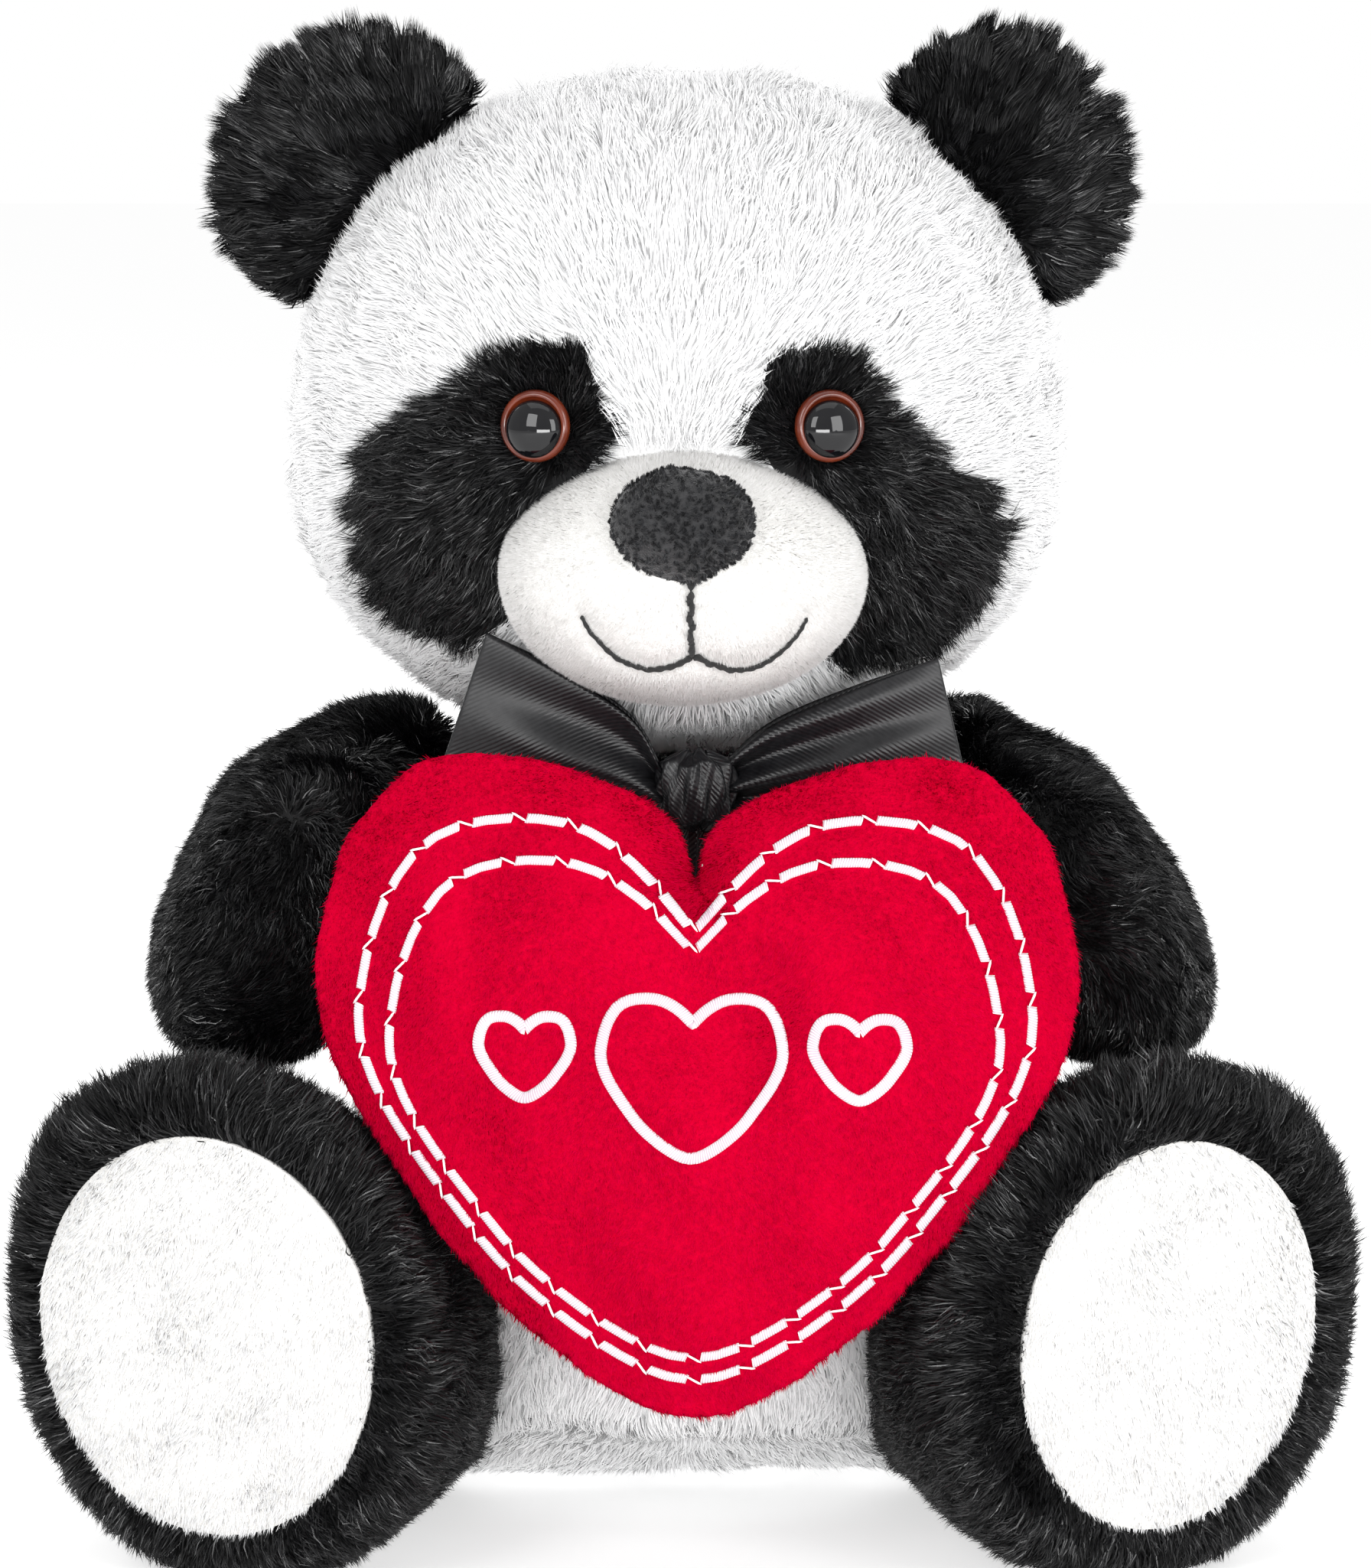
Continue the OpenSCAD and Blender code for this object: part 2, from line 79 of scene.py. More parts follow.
def add_studio():
    aim = (0, 0, 0.12)
    add_light("key_light", (-0.7, -1.15, 0.75), aim, (0.6, 0.8), 8)
    add_light("fill_light", (0.85, -1.0, 0.5), aim, (0.6, 0.8), 8)
    add_light("front_light", (0.05, -1.7, 0.12), aim, (1.2, 0.2), 12)
    add_light("top_light", (0.0, 0.0, 1.2), aim, (1.1, 0.9), 2.5)
    add_light("rim_light_left", (-0.9, 0.8, 0.7), aim, (0.5, 0.8), 6)
    add_light("rim_light_right", (0.9, 0.8, 0.7), aim, (0.5, 0.8), 6)
    world = bpy.data.worlds.new("studio")
    world.use_nodes = True
    # the backdrop shows white, and lights the panda more softly than it shows
    tree = world.node_tree
    sky = tree.nodes["Background"]
    sky.inputs["Strength"].default_value = 0.6
    shown = tree.nodes.new("ShaderNodeBackground")
    shown.inputs["Color"].default_value = sky.inputs["Color"].default_value = (1, 1, 1, 1)
    path, mix = tree.nodes.new("ShaderNodeLightPath"), tree.nodes.new("ShaderNodeMixShader")
    tree.links.new(path.outputs["Is Camera Ray"], mix.inputs["Fac"])
    tree.links.new(sky.outputs[0], mix.inputs[1])
    tree.links.new(shown.outputs[0], mix.inputs[2])
    tree.links.new(mix.outputs[0], tree.nodes["World Output"].inputs["Surface"])
    scene = bpy.context.scene
    scene.world = world
    scene.view_settings.view_transform = "Standard"
    scene.view_settings.look = "None"
    mesh = bpy.data.meshes.new("floor")
    reach = 3.0
    mesh.from_pydata([(-reach, -reach, 0), (reach, -reach, 0), (reach, reach, 0), (-reach, reach, 0)],
                     [], [(0, 1, 2, 3)])
    ob = bpy.data.objects.new("floor", mesh)
    bpy.context.collection.objects.link(ob)
    # a pale floor that glows a little, as paper does when it is lit from below
    paint = plain_material("floor_paint", (0.62, 0.62, 0.62), 0.9, 0.0, 0.0)
    glow = paint.node_tree.nodes["Principled BSDF"]
    glow.inputs["Emission Color"].default_value = (1, 1, 1, 1)
    glow.inputs["Emission Strength"].default_value = 0.6
    mesh.materials.append(paint)


# ---------------------------------------------------------------- materials


def principled(name):
    mat = bpy.data.materials.new(name)
    mat.use_nodes = True
    return mat, mat.node_tree, mat.node_tree.nodes["Principled BSDF"]


def plain_material(name, colour, rough, sheen=0.0, specular=0.5, sheen_tint=(1, 1, 1)):
    mat, _, shader = principled(name)
    shader.inputs["Base Color"].default_value = (*colour, 1)
    shader.inputs["Roughness"].default_value = rough
    shader.inputs["Specular IOR Level"].default_value = specular
    shader.inputs["Sheen Weight"].default_value = sheen
    shader.inputs["Sheen Roughness"].default_value = 0.4
    shader.inputs["Sheen Tint"].default_value = (*sheen_tint, 1)
    return mat


def coordinates(tree, kind="Object"):
    return tree.nodes.new("ShaderNodeTexCoord").outputs[kind]


def noise(tree, coord, scale, detail=4.0, rough=0.6, stretch=None):
    if stretch:
        mapping = tree.nodes.new("ShaderNodeMapping")
        mapping.inputs["Scale"].default_value = stretch
        tree.links.new(coord, mapping.inputs["Vector"])
        coord = mapping.outputs["Vector"]
    tex = tree.nodes.new("ShaderNodeTexNoise")
    tex.inputs["Scale"].default_value = scale
    tex.inputs["Detail"].default_value = detail
    tex.inputs["Roughness"].default_value = rough
    tree.links.new(coord, tex.inputs["Vector"])
    return tex.outputs["Fac"]


def ramp(tree, fac, stops):
    node = tree.nodes.new("ShaderNodeValToRGB")
    marks = node.color_ramp.elements
    while len(marks) < len(stops):
        marks.new(0.5)
    for mark, (place, colour) in zip(marks, stops):
        mark.position = place
        mark.color = (*colour, 1)
    tree.links.new(fac, node.inputs["Fac"])
    return node.outputs["Color"]


def add_bump(tree, shader, height, strength, distance):
    bump = tree.nodes.new("ShaderNodeBump")
    bump.inputs["Strength"].default_value = strength
    bump.inputs["Distance"].default_value = distance
    tree.links.new(height, bump.inputs["Height"])
    tree.links.new(bump.outputs["Normal"], shader.inputs["Normal"])


def cloth_material(name, dark, light, scale, rough=0.9, sheen=0.3, bump=0.6, tint=(1, 1, 1), specular=0.5):
    """Backing cloth: two noises mottle its colour and lift its surface."""
    mat, tree, shader = principled(name)
    coord = coordinates(tree)
    fac = noise(tree, coord, scale)
    tree.links.new(ramp(tree, fac, [(0.3, dark), (0.7, light)]), shader.inputs["Base Color"])
    shader.inputs["Roughness"].default_value = rough
    shader.inputs["Specular IOR Level"].default_value = specular
    shader.inputs["Sheen Weight"].default_value = sheen
    shader.inputs["Sheen Tint"].default_value = (*tint, 1)
    add_bump(tree, shader, noise(tree, coord, scale * 3, 2.0), bump, 0.0006)
    return mat


def satin_material(name):
    """Dark satin: a fine diagonal twill in the ribbon's own UV, with a slow change of tone."""
    mat, tree, shader = principled(name)
    uv = coordinates(tree, "UV")
    twill = tree.nodes.new("ShaderNodeTexWave")
    twill.wave_type = "BANDS"
    twill.bands_direction = "DIAGONAL"
    twill.inputs["Scale"].default_value = 700.0
    twill.inputs["Distortion"].default_value = 0.6
    twill.inputs["Detail"].default_value = 1.0
    tree.links.new(uv, twill.inputs["Vector"])
    tone = ramp(tree, noise(tree, coordinates(tree), 900.0, 2.0),
                [(0.3, (0.004, 0.004, 0.005)), (0.7, (0.012, 0.012, 0.0135))])
    tree.links.new(tone, shader.inputs["Base Color"])
    shader.inputs["Roughness"].default_value = 0.33
    shader.inputs["Specular IOR Level"].default_value = 0.42
    add_bump(tree, shader, twill.outputs["Fac"], 0.5, 0.00008)
    return mat


def plastic_material(name, dark, light, rough, coat):
    mat, tree, shader = principled(name)
    coord = coordinates(tree)
    tree.links.new(ramp(tree, noise(tree, coord, 160.0, 3.0), [(0.35, dark), (0.65, light)]),
                   shader.inputs["Base Color"])
    shader.inputs["Roughness"].default_value = rough
    shader.inputs["Coat Weight"].default_value = coat
    shader.inputs["Coat Roughness"].default_value = 0.03
    add_bump(tree, shader, noise(tree, coord, 900.0, 1.0), 0.02, 0.0001)
    return mat


WHITE_FUR = [plain_material("white_fur_a", (0.90, 0.90, 0.905), 0.8, 0.2, 0.1),
             plain_material("white_fur_b", (0.875, 0.875, 0.88), 0.8, 0.2, 0.1),
             plain_material("white_fur_c", (0.925, 0.925, 0.925), 0.7, 0.2, 0.1)]
BLACK_FUR = [plain_material("black_fur_a", (0.003, 0.003, 0.0034), 0.34, 0.0, 0.26),
             plain_material("black_fur_b", (0.007, 0.007, 0.008), 0.25, 0.0, 0.5),
             plain_material("black_fur_c", (0.0015, 0.0015, 0.0017), 0.45, 0.0, 0.15)]
FLEECE = [plain_material("fleece_a", (0.82, 0.81, 0.795), 0.8, 0.4, 0.2),
          plain_material("fleece_b", (0.76, 0.75, 0.735), 0.8, 0.4, 0.2),
          plain_material("fleece_c", (0.88, 0.87, 0.86), 0.8, 0.4, 0.2)]
SOLE = [plain_material("sole_a", (0.85, 0.85, 0.855), 0.8, 0.4, 0.2),
        plain_material("sole_b", (0.83, 0.83, 0.835), 0.8, 0.4, 0.2),
        plain_material("sole_c", (0.87, 0.87, 0.87), 0.8, 0.4, 0.2)]
NOSE = [plain_material("nose_fleece_a", (0.016, 0.016, 0.018), 0.6, 0.2, 0.3),
        plain_material("nose_fleece_b", (0.026, 0.027, 0.030), 0.5, 0.2, 0.3),
        plain_material("nose_fleece_c", (0.006, 0.006, 0.007), 0.7, 0.1, 0.2)]
RED_TINT = (1.0, 0.0, 0.12)
RED_FUR = [plain_material("red_pile_a", (0.54, 0.0002, 0.029), 0.8, 0.08, 0.0, RED_TINT),
           plain_material("red_pile_b", (0.50, 0.0002, 0.025), 0.8, 0.08, 0.0, RED_TINT),
           plain_material("red_pile_c", (0.57, 0.0004, 0.034), 0.8, 0.1, 0.0, RED_TINT)]
WHITE_CLOTH = cloth_material("white_backing", (0.84, 0.84, 0.845), (0.91, 0.91, 0.91), 900.0)
BLACK_CLOTH = cloth_material("black_backing", (0.002, 0.002, 0.002), (0.007, 0.007, 0.008), 900.0, sheen=0.0)
FLEECE_CLOTH = cloth_material("fleece_backing", (0.7, 0.69, 0.67), (0.82, 0.81, 0.79), 1200.0)
NOSE_CLOTH = cloth_material("nose_backing", (0.008, 0.008, 0.009), (0.025, 0.025, 0.027), 1100.0)
RED_CLOTH = cloth_material("red_backing", (0.44, 0.0003, 0.017), (0.52, 0.0005, 0.024), 700.0,
                           sheen=0.1, tint=RED_TINT, specular=0.0)
FIBRE = cloth_material("fibre_filling", (0.7, 0.69, 0.66), (0.86, 0.85, 0.82), 300.0, bump=1.0)
SATIN = satin_material("black_satin")
LABEL = cloth_material("label_tape", (0.8, 0.8, 0.8), (0.9, 0.9, 0.9), 1500.0, 0.5, 0.1)
AMBER = plastic_material("amber_plastic", (0.07, 0.009, 0.003), (0.15, 0.022, 0.006), 0.25, 0.3)
EYE_BLACK = plastic_material("black_dome", (0.002, 0.002, 0.003), (0.005, 0.005, 0.006), 0.04, 0.0)
WASHER = plastic_material("washer_plastic", (0.02, 0.02, 0.02), (0.05, 0.05, 0.05), 0.5, 0.0)
THREAD_A = plain_material("white_thread_a", (0.82, 0.77, 0.80), 0.5, 0.2, 0.5)
# the second thread colour is painted shade: a darker pink copy of the white thread that stands in for the
# shade between the threads of a satin stitch
THREAD_SHADE = plain_material("white_thread_painted_shade", (0.56, 0.42, 0.50), 0.5, 0.2, 0.5)
BLACK_THREAD = cloth_material("black_thread", (0.006, 0.006, 0.006), (0.02, 0.02, 0.02), 2500.0, 0.7, 0.1)

# ---------------------------------------------------------------- meshes


def unit(v):
    return v / np.maximum(np.linalg.norm(v, axis=-1, keepdims=True), 1e-9)


def make(name, points, faces, mats, body, slot, nodes=(), which=None, smooth=True, uv=None, lit=None):
    """A piece from points in design millimetres and faces of one size; it rides on a body."""
    faces = np.asarray(faces, np.int32)
    count, size = faces.shape
    mesh = bpy.data.meshes.new(name)
    mesh.vertices.add(len(points))
    mesh.vertices.foreach_set("co", ((np.asarray(points) + SHIFT) * 0.001).astype(np.float32).ravel())
    mesh.loops.add(count * size)
    mesh.loops.foreach_set("vertex_index", faces.ravel())
    mesh.polygons.add(count)
    mesh.polygons.foreach_set("loop_start", np.arange(count, dtype=np.int32) * size)
    mesh.polygons.foreach_set("loop_total", np.full(count, size, np.int32))
    for mat in mats:
        mesh.materials.append(mat)
    if which is not None:
        mesh.polygons.foreach_set("material_index", np.asarray(which, np.int32))
    mesh.polygons.foreach_set("use_smooth", np.full(count, smooth))
    mesh.update(calc_edges=True)
    if uv is not None:
        layer = mesh.uv_layers.new(name="UVMap")
        layer.data.foreach_set("uv", np.asarray(uv)[faces.ravel()].astype(np.float32).ravel())
    if lit is not None:
        mesh.normals_split_custom_set_from_vertices(lit)
    ob = bpy.data.objects.new(name, mesh)
    bpy.context.collection.objects.link(ob)
    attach(ob, body)
    if nodes:
        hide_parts(*nodes)
    return ob


def arrays(mesh):
    """Points in design millimetres and triangles of a Blender mesh."""
    pts = np.empty(len(mesh.vertices) * 3, np.float32)
    mesh.vertices.foreach_get("co", pts)
    mesh.calc_loop_triangles()
    tris = np.empty(len(mesh.loop_triangles) * 3, np.int32)
    mesh.loop_triangles.foreach_get("vertices", tris)
    return pts.reshape(-1, 3).astype(float) * 1000 - SHIFT, tris.reshape(-1, 3)


def evaluated(ob):
    graph = bpy.context.evaluated_depsgraph_get()
    mesh = bpy.data.meshes.new_from_object(ob.evaluated_get(graph))
    result = arrays(mesh)
    bpy.data.meshes.remove(mesh)
    return result


def normals_of(pts, tris):
    a, b, c = (pts[tris[:, i]] for i in range(3))
    face = np.cross(b - a, c - a)
    out = np.zeros_like(pts)
    for i in range(3):
        np.add.at(out, tris[:, i], face)
    return unit(out)


def smoothed(pts, tris, rounds, share=0.5):
    """Laplacian smoothing, which also shrinks the shape a little."""
    edges = np.unique(np.sort(np.vstack([tris[:, [0, 1]], tris[:, [1, 2]], tris[:, [2, 0]]]), 1), axis=0)
    degree = np.zeros(len(pts))
    np.add.at(degree, edges.ravel(), 1)
    for _ in range(rounds):
        total = np.zeros_like(pts)
        np.add.at(total, edges[:, 0], pts[edges[:, 1]])
        np.add.at(total, edges[:, 1], pts[edges[:, 0]])
        pts = pts + share * (total / np.maximum(degree, 1)[:, None] - pts)
    return pts


def remeshed(nodes, voxel, rounds=6, grow=0.0):
    """One smooth closed surface round CAD solids."""
    build = bmesh.new()
    for node in nodes:
        build.from_mesh(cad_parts[node].data)
    mesh = bpy.data.meshes.new("scratch")
    build.to_mesh(mesh)
    build.free()
    ob = bpy.data.objects.new("scratch", mesh)
    bpy.context.collection.objects.link(ob)
    mod = ob.modifiers.new("remesh", "REMESH")
    mod.mode = "VOXEL"
    mod.voxel_size = voxel * 0.001
    pts, tris = evaluated(ob)
    bpy.data.objects.remove(ob)
    bpy.data.meshes.remove(mesh)
    pts = smoothed(pts, tris, rounds)
    return pts + normals_of(pts, tris) * grow, tris


def icosphere(level):
    build = bmesh.new()
    bmesh.ops.create_icosphere(build, subdivisions=level, radius=1.0)
    pts = np.array([v.co[:] for v in build.verts])
    tris = np.array([[v.index for v in f.verts] for f in build.faces])
    build.free()
    return pts, tris


def rot_x(deg):
    c, s = math.cos(math.radians(deg)), math.sin(math.radians(deg))
    return np.array([[1, 0, 0], [0, c, -s], [0, s, c]])


def rot_y(deg):
    c, s = math.cos(math.radians(deg)), math.sin(math.radians(deg))
    return np.array([[c, 0, s], [0, 1, 0], [-s, 0, c]])


def rot_z(deg):
    c, s = math.cos(math.radians(deg)), math.sin(math.radians(deg))
    return np.array([[c, -s, 0], [s, c, 0], [0, 0, 1]])


def wobble(pts, wavelength, seed, dims=3):
    """Smooth pseudo-random values from a few sine waves, about -1 to 1."""
    rng = np.random.default_rng(seed)
    out = np.zeros((len(pts), dims))
    for _ in range(6):
        k = rng.normal(size=(3, dims))
        k *= 2 * np.pi / (wavelength * rng.uniform(0.6, 1.6, dims) * np.linalg.norm(k, axis=0))
        out += np.sin(pts @ k + rng.uniform(0, 2 * np.pi, dims))
    return out / 3.0


# ---------------------------------------------------------------- fur


def nearest(points, centres):
    tree = kdtree.KDTree(len(centres))
    for i, c in enumerate(centres):
        tree.insert(c, i)
    tree.balance()
    return np.fromiter((tree.find(p)[1] for p in points), np.int64, len(points))


def fur(name, base, mats, body, slot, density, length, comb, seed, where=None, width=0.34,
        stand=0.62, swirl=0.35, clump=5.0, pull=0.6, curl=0.5, segments=2, spread=0.25, soft=0.8, tips=None):
    """Tapered strands rooted on base. density is per square millimetre, comb(points) gives the
    way the pile lies, stand is how upright it is, clump the area of one tuft and pull how tight."""
    rng = np.random.default_rng(seed)
    pts, tris = base
    normal = normals_of(pts, tris)
    a, b, c = (pts[tris[:, i]] for i in range(3))
    area = np.linalg.norm(np.cross(b - a, c - a), axis=1) / 2
    total = int(area.sum() * density * (1.0))
    chosen = np.searchsorted(np.cumsum(area) / area.sum(), rng.random(total))
    chosen = np.minimum(chosen, len(tris) - 1)
    u, v = rng.random(total), rng.random(total)
    fold = u + v > 1
    u[fold], v[fold] = 1 - u[fold], 1 - v[fold]
    weights = np.stack([1 - u - v, u, v], 1)
    root = (pts[tris[chosen]] * weights[:, :, None]).sum(1)
    n = unit((normal[tris[chosen]] * weights[:, :, None]).sum(1))
    if where is not None:
        keep = where(root)
        root, n = root[keep], n[keep]
    count = len(root)
    if count == 0:
        return None
    way = comb(root)
    way = unit(way - (way * n).sum(1, keepdims=True) * n)
    way = unit(way + swirl * wobble(root, 14.0, seed + 1) + spread * rng.normal(size=(count, 3)))
    size = (length(root) if callable(length) else length) * rng.uniform(0.72, 1.12, count)
    size = np.broadcast_to(size, (count,))[:, None]
    up = np.clip(stand + 0.10 * rng.normal(size=(count, 1)), 0.15, 0.97)
    along = np.sqrt(1 - up * up)
    mid = root + size * 0.5 * unit(n * (up + curl * 0.5) + way * (along * (1 - curl * 0.5)))
    tip = mid + size * 0.5 * unit(n * up * (1 - curl) + way * (along + curl * 0.4))
    tone = rng.integers(0, len(mats) * 2, count)
    if clump:
        picks = rng.choice(count, max(2, int(count / (density * 1.0 * clump))),
                           replace=False)
        near = nearest(root, root[picks])
        centre = picks[near]
        k = pull * rng.uniform(0.6, 1.0, (count, 1))
        tip = tip + k * (tip[centre] - tip) * 0.9
        mid = mid + k * 0.35 * (mid[centre] - mid)
        group = rng.integers(0, len(mats), len(picks))[near]
        tone = np.where(tone < len(mats), tone, group)
    if tips is not None:
        keep = tips(tip) & tips(mid)
        root, mid, tip, n, tone = root[keep], mid[keep], tip[keep], n[keep], tone[keep]
        count = len(root)
    floor = FLOOR_CLEAR
    for p in (root, mid, tip):
        p[:, 2] = np.maximum(p[:, 2], floor)
    root = root - n * 0.35
    axis = unit(tip - root)
    side = unit(np.cross(axis, n) + 0.9 * rng.normal(size=(count, 3)))
    side = unit(side - (side * axis).sum(1, keepdims=True) * axis)
    wide = width * rng.uniform(0.7, 1.2, (count, 1)) / 2
    # each strand faces outwards, and is shaded partly as the surface below it
    facing = np.cross(side, axis)
    outward = np.where((facing * n).sum(1, keepdims=True) < 0, -1.0, 1.0)
    side = side * outward
    lit = unit(soft * n + (1 - soft) * unit(facing * outward))
    if segments == 2:
        verts = np.stack([root - side * wide, root + side * wide,
                          mid - side * wide * 0.8, mid + side * wide * 0.8, tip], 1).reshape(-1, 3)
        pattern = np.array([[0, 1, 3], [0, 3, 2], [2, 3, 4]])
        faces = (np.arange(count)[:, None, None] * 5 + pattern[None]).reshape(-1, 3)
        tone = np.repeat(tone, 3)
    else:
        verts = np.stack([root - side * wide, root + side * wide, tip], 1).reshape(-1, 3)
        faces = np.arange(count * 3).reshape(-1, 3)
    lit = np.repeat(lit, 5 if segments == 2 else 3, axis=0)
    return make(name, verts, faces, mats, body, slot, which=tone, lit=lit)


def away_from(x, y, z, lean=(0, 0, 0)):
    centre, extra = np.array([x, y, z], float), np.array(lean, float)
    return lambda p: unit(p - centre) + extra


# ---------------------------------------------------------------- head

HEAD_C = np.array([0, 0, 183.0])
HEAD_R = 57.0
HEAD_SPREAD = 6.5
EYE_X, EYE_Z = 24.0, 186.0
EYE_Y = -math.sqrt(HEAD_R ** 2 - (EYE_X - HEAD_SPREAD) ** 2 - (EYE_Z - HEAD_C[2]) ** 2)
GUSSET = 13.0
# Outlines of the eye patches seen from the front, as distance from the middle and height.
# They were moved and rounded by hand from places that another script worked out from the photo.
PATCHES = {
    1: [(16.5, 197.5), (23, 198), (29, 197), (33, 190), (38, 184.5), (43, 178), (49, 174),
        (51.5, 168), (51, 162), (48.5, 155.5), (44.5, 150.5), (41, 146), (34, 145), (27, 143.5),
        (22, 150), (23, 158), (20, 170), (17, 177), (10, 185), (12.5, 190), (14, 195)],
    -1: [(16, 198.5), (25, 198.3), (31, 197), (36, 193.5), (40, 189), (49, 184), (52, 179.5),
         (53, 174.2), (51.5, 167), (52, 163), (50, 157), (45.5, 151.5), (41, 148.5), (33, 149.5),
         (28, 153), (23, 158), (20, 170), (16, 178), (11, 184.5), (13.5, 190), (15, 195)]}
NECK_C = np.array([0, 8, 129.0])
MUZZLE_C = np.array([0, -52.0, 161.0])
MUZZLE_HALF = np.array([31.0, 24.0, 22.0])
NOSE_C = np.array([0, -73.0, 171.5])
NOSE_HALF = np.array([12.2, 6.5, 10.0])


def head_base():
    n, tris = icosphere(6)
    pts = HEAD_C + n * (HEAD_R - 1.0)
    pts[:, 0] += HEAD_SPREAD * np.clip(n[:, 0] / 0.12, -1, 1)
    # fuller cheeks, and a slightly wider right side
    low = np.exp(-((pts[:, 2] - 158) / 17) ** 2) * np.clip(1 - np.abs(n[:, 1]) * 0.5, 0, 1)
    pts[:, 0] += np.sign(n[:, 0]) * np.abs(n[:, 0]) * 2.2 * low
    pts[:, 0] += np.where(n[:, 0] < 0, 2.0, 0) * n[:, 0]
    # the chin's plush puffs out over the neck ribbon, between the loops of the bow
    puff = np.exp(-((pts[:, 0] - 1) / 15) ** 2 - ((pts[:, 2] - 139.5) / 7.0) ** 2) * (pts[:, 1] < 0)
    pts[:, 1] -= 15.0 * puff
    # the cloth sinks a little round each eye, where the washer pulls it in
    for side in (-1, 1):
        eye = np.array([side * EYE_X, EYE_Y, EYE_Z])
        d = np.linalg.norm(pts - eye, axis=1)
        pts -= n * (1.6 * np.exp(-(d / 9.0) ** 2))[:, None]
    return pts, tris


def inside_ellipsoid(p, centre, half):
    return (((p - centre) / half) ** 2).sum(1) < 1


def in_outline(x, z, outline):
    """True for the points inside a closed outline."""
    inside = np.zeros(len(x), bool)
    for (ax, az), (bx, bz) in zip(outline, outline[1:] + outline[:1]):
        if az != bz:
            inside ^= ((az > z) != (bz > z)) & (x < (bx - ax) * (z - az) / (bz - az) + ax)
    return inside


def in_patch(p):
    """True inside an eye patch's outline, seen from the front."""
    ripple = 0.8 * wobble(p, 7.0, 15, 2)
    x, z = np.abs(p[:, 0]) + ripple[:, 0], p[:, 2] + ripple[:, 1]
    inside = np.where(p[:, 0] > 0, in_outline(x, z, PATCHES[1]), in_outline(x, z, PATCHES[-1]))
    return inside & (p[:, 1] < 0)


def near_eye(p, reach):
    d = [np.linalg.norm(p - np.array([s * EYE_X, EYE_Y, EYE_Z]), axis=1) for s in (-1, 1)]
    return np.minimum(*d) < reach


def on_face(p):
    return ~inside_ellipsoid(p, MUZZLE_C, MUZZLE_HALF - 1.0)


def head_comb(p):
    """Away from the bridge of the nose, and down at the back of the head."""
    way = unit(p - np.array([0, -66.0, 170.0]))
    back = np.clip((p[:, 1] + 5) / 30, 0, 1)[:, None]
    return way * (1 - back) + np.array([0, 0, -1.0]) * back


def build_head():
    base = head_base()
    dark = in_patch(base[0][base[1]].mean(1)).astype(int)
    skin = make("head_skin", base[0], base[1], [WHITE_CLOTH, BLACK_CLOTH], "head", "white_plush",
                ("head_side_left", "head_side_right", "head_gusset"), which=dark)
    inner = base[0] - normals_of(*base) * 2.4
    filling = make("head_filling", inner, base[1], [FIBRE], "head", "fibre_filling", ("head_stuffing",))

    def white(p):
        return on_face(p) & ~in_patch(p) & (np.linalg.norm(p - NECK_C, axis=1) > 19)

    parts = (("head_side_left_fur", 5.0, lambda p: (p[:, 0] > GUSSET) & (p[:, 1] < 4)),
             ("head_side_right_fur", 5.0, lambda p: (p[:, 0] < -GUSSET) & (p[:, 1] < 4)),
             ("head_gusset_fur", 4.6, lambda p: np.abs(p[:, 0]) <= GUSSET),
             ("head_back_left_fur", 3.4, lambda p: (p[:, 0] > GUSSET) & (p[:, 1] >= 4)),
             ("head_back_right_fur", 3.4, lambda p: (p[:, 0] < -GUSSET) & (p[:, 1] >= 4)))
    for i, (name, density, where) in enumerate(parts):
        fur(name, base, WHITE_FUR, "head", "white_plush", density, 5.6, head_comb, 10 + i,
            lambda p, w=where: white(p) & w(p), stand=0.45, clump=7.0, pull=0.45, width=0.27, soft=0.97,
            tips=lambda p: on_face(p) & ~in_patch(p))
    for side, word in ((1, "left"), (-1, "right")):
        ob = fur(f"eye_patch_{word}_fur", base, BLACK_FUR, "head", "black_plush", 9.0,
                 lambda p: 5.0 + 3.0 * np.clip((np.abs(p[:, 0]) - 30) / 20, 0, 1),
                 away_from(side * 23, EYE_Y, 182, (side * 0.25, 0, -0.1)), 20 + side,
                 lambda p: in_patch(p) & on_face(p) & ~near_eye(p, 5.3) & (p[:, 0] * side > 0),
                 stand=0.55, clump=3.5, pull=0.5, width=0.22, spread=0.4, soft=0.3, tips=on_face)
        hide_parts(f"eye_patch_{word}")


# The sewn lines of the mouth seen from the front: the stem and the two curves below it
MOUTH = {
    0: [(1.3, 163.5), (1.35, 157), (1.5, 150.4)],
    -1: [(1.5, 150.4), (-1.4, 148.7), (-5.0, 147.9), (-8.8, 148.7), (-12.2, 151.0), (-15.0, 154.2),
         (-16.4, 156.6)],
    1: [(1.5, 150.4), (5.4, 148.6), (9.0, 147.6), (12.6, 148.3), (15.8, 150.4), (18.6, 153.3),
        (20.2, 156.0)]}


def mouth_line(count):
    """Points along the three sewn lines, seen from the front."""
    t = np.linspace(0, 1, count)
    return np.vstack([curve_points(points, t) for points in MOUTH.values()])


def muzzle_base():
    n, tris = icosphere(5)
    p = MUZZLE_C + n * (MUZZLE_HALF - 0.9)
    x, z = p[:, 0], p[:, 2]
    front = np.clip(-n[:, 1], 0, 1)
    # narrower at the bridge, fuller at the cheeks, with a crease where the mouth is sewn
    p[:, 0] *= 1 - 0.10 * np.clip((z - 168) / 14, 0, 1)
    d = np.min([np.hypot(x - a, z - b) for a, b in mouth_line(60)], axis=0)
    crease = np.exp(-(d / 1.7) ** 2) * front
    lip = np.exp(-((z - 144.5) / 4.5) ** 2) * np.exp(-(x / 15) ** 2) * front
    p[:, 1] += 1.5 * crease - 1.2 * lip
    return p, tris


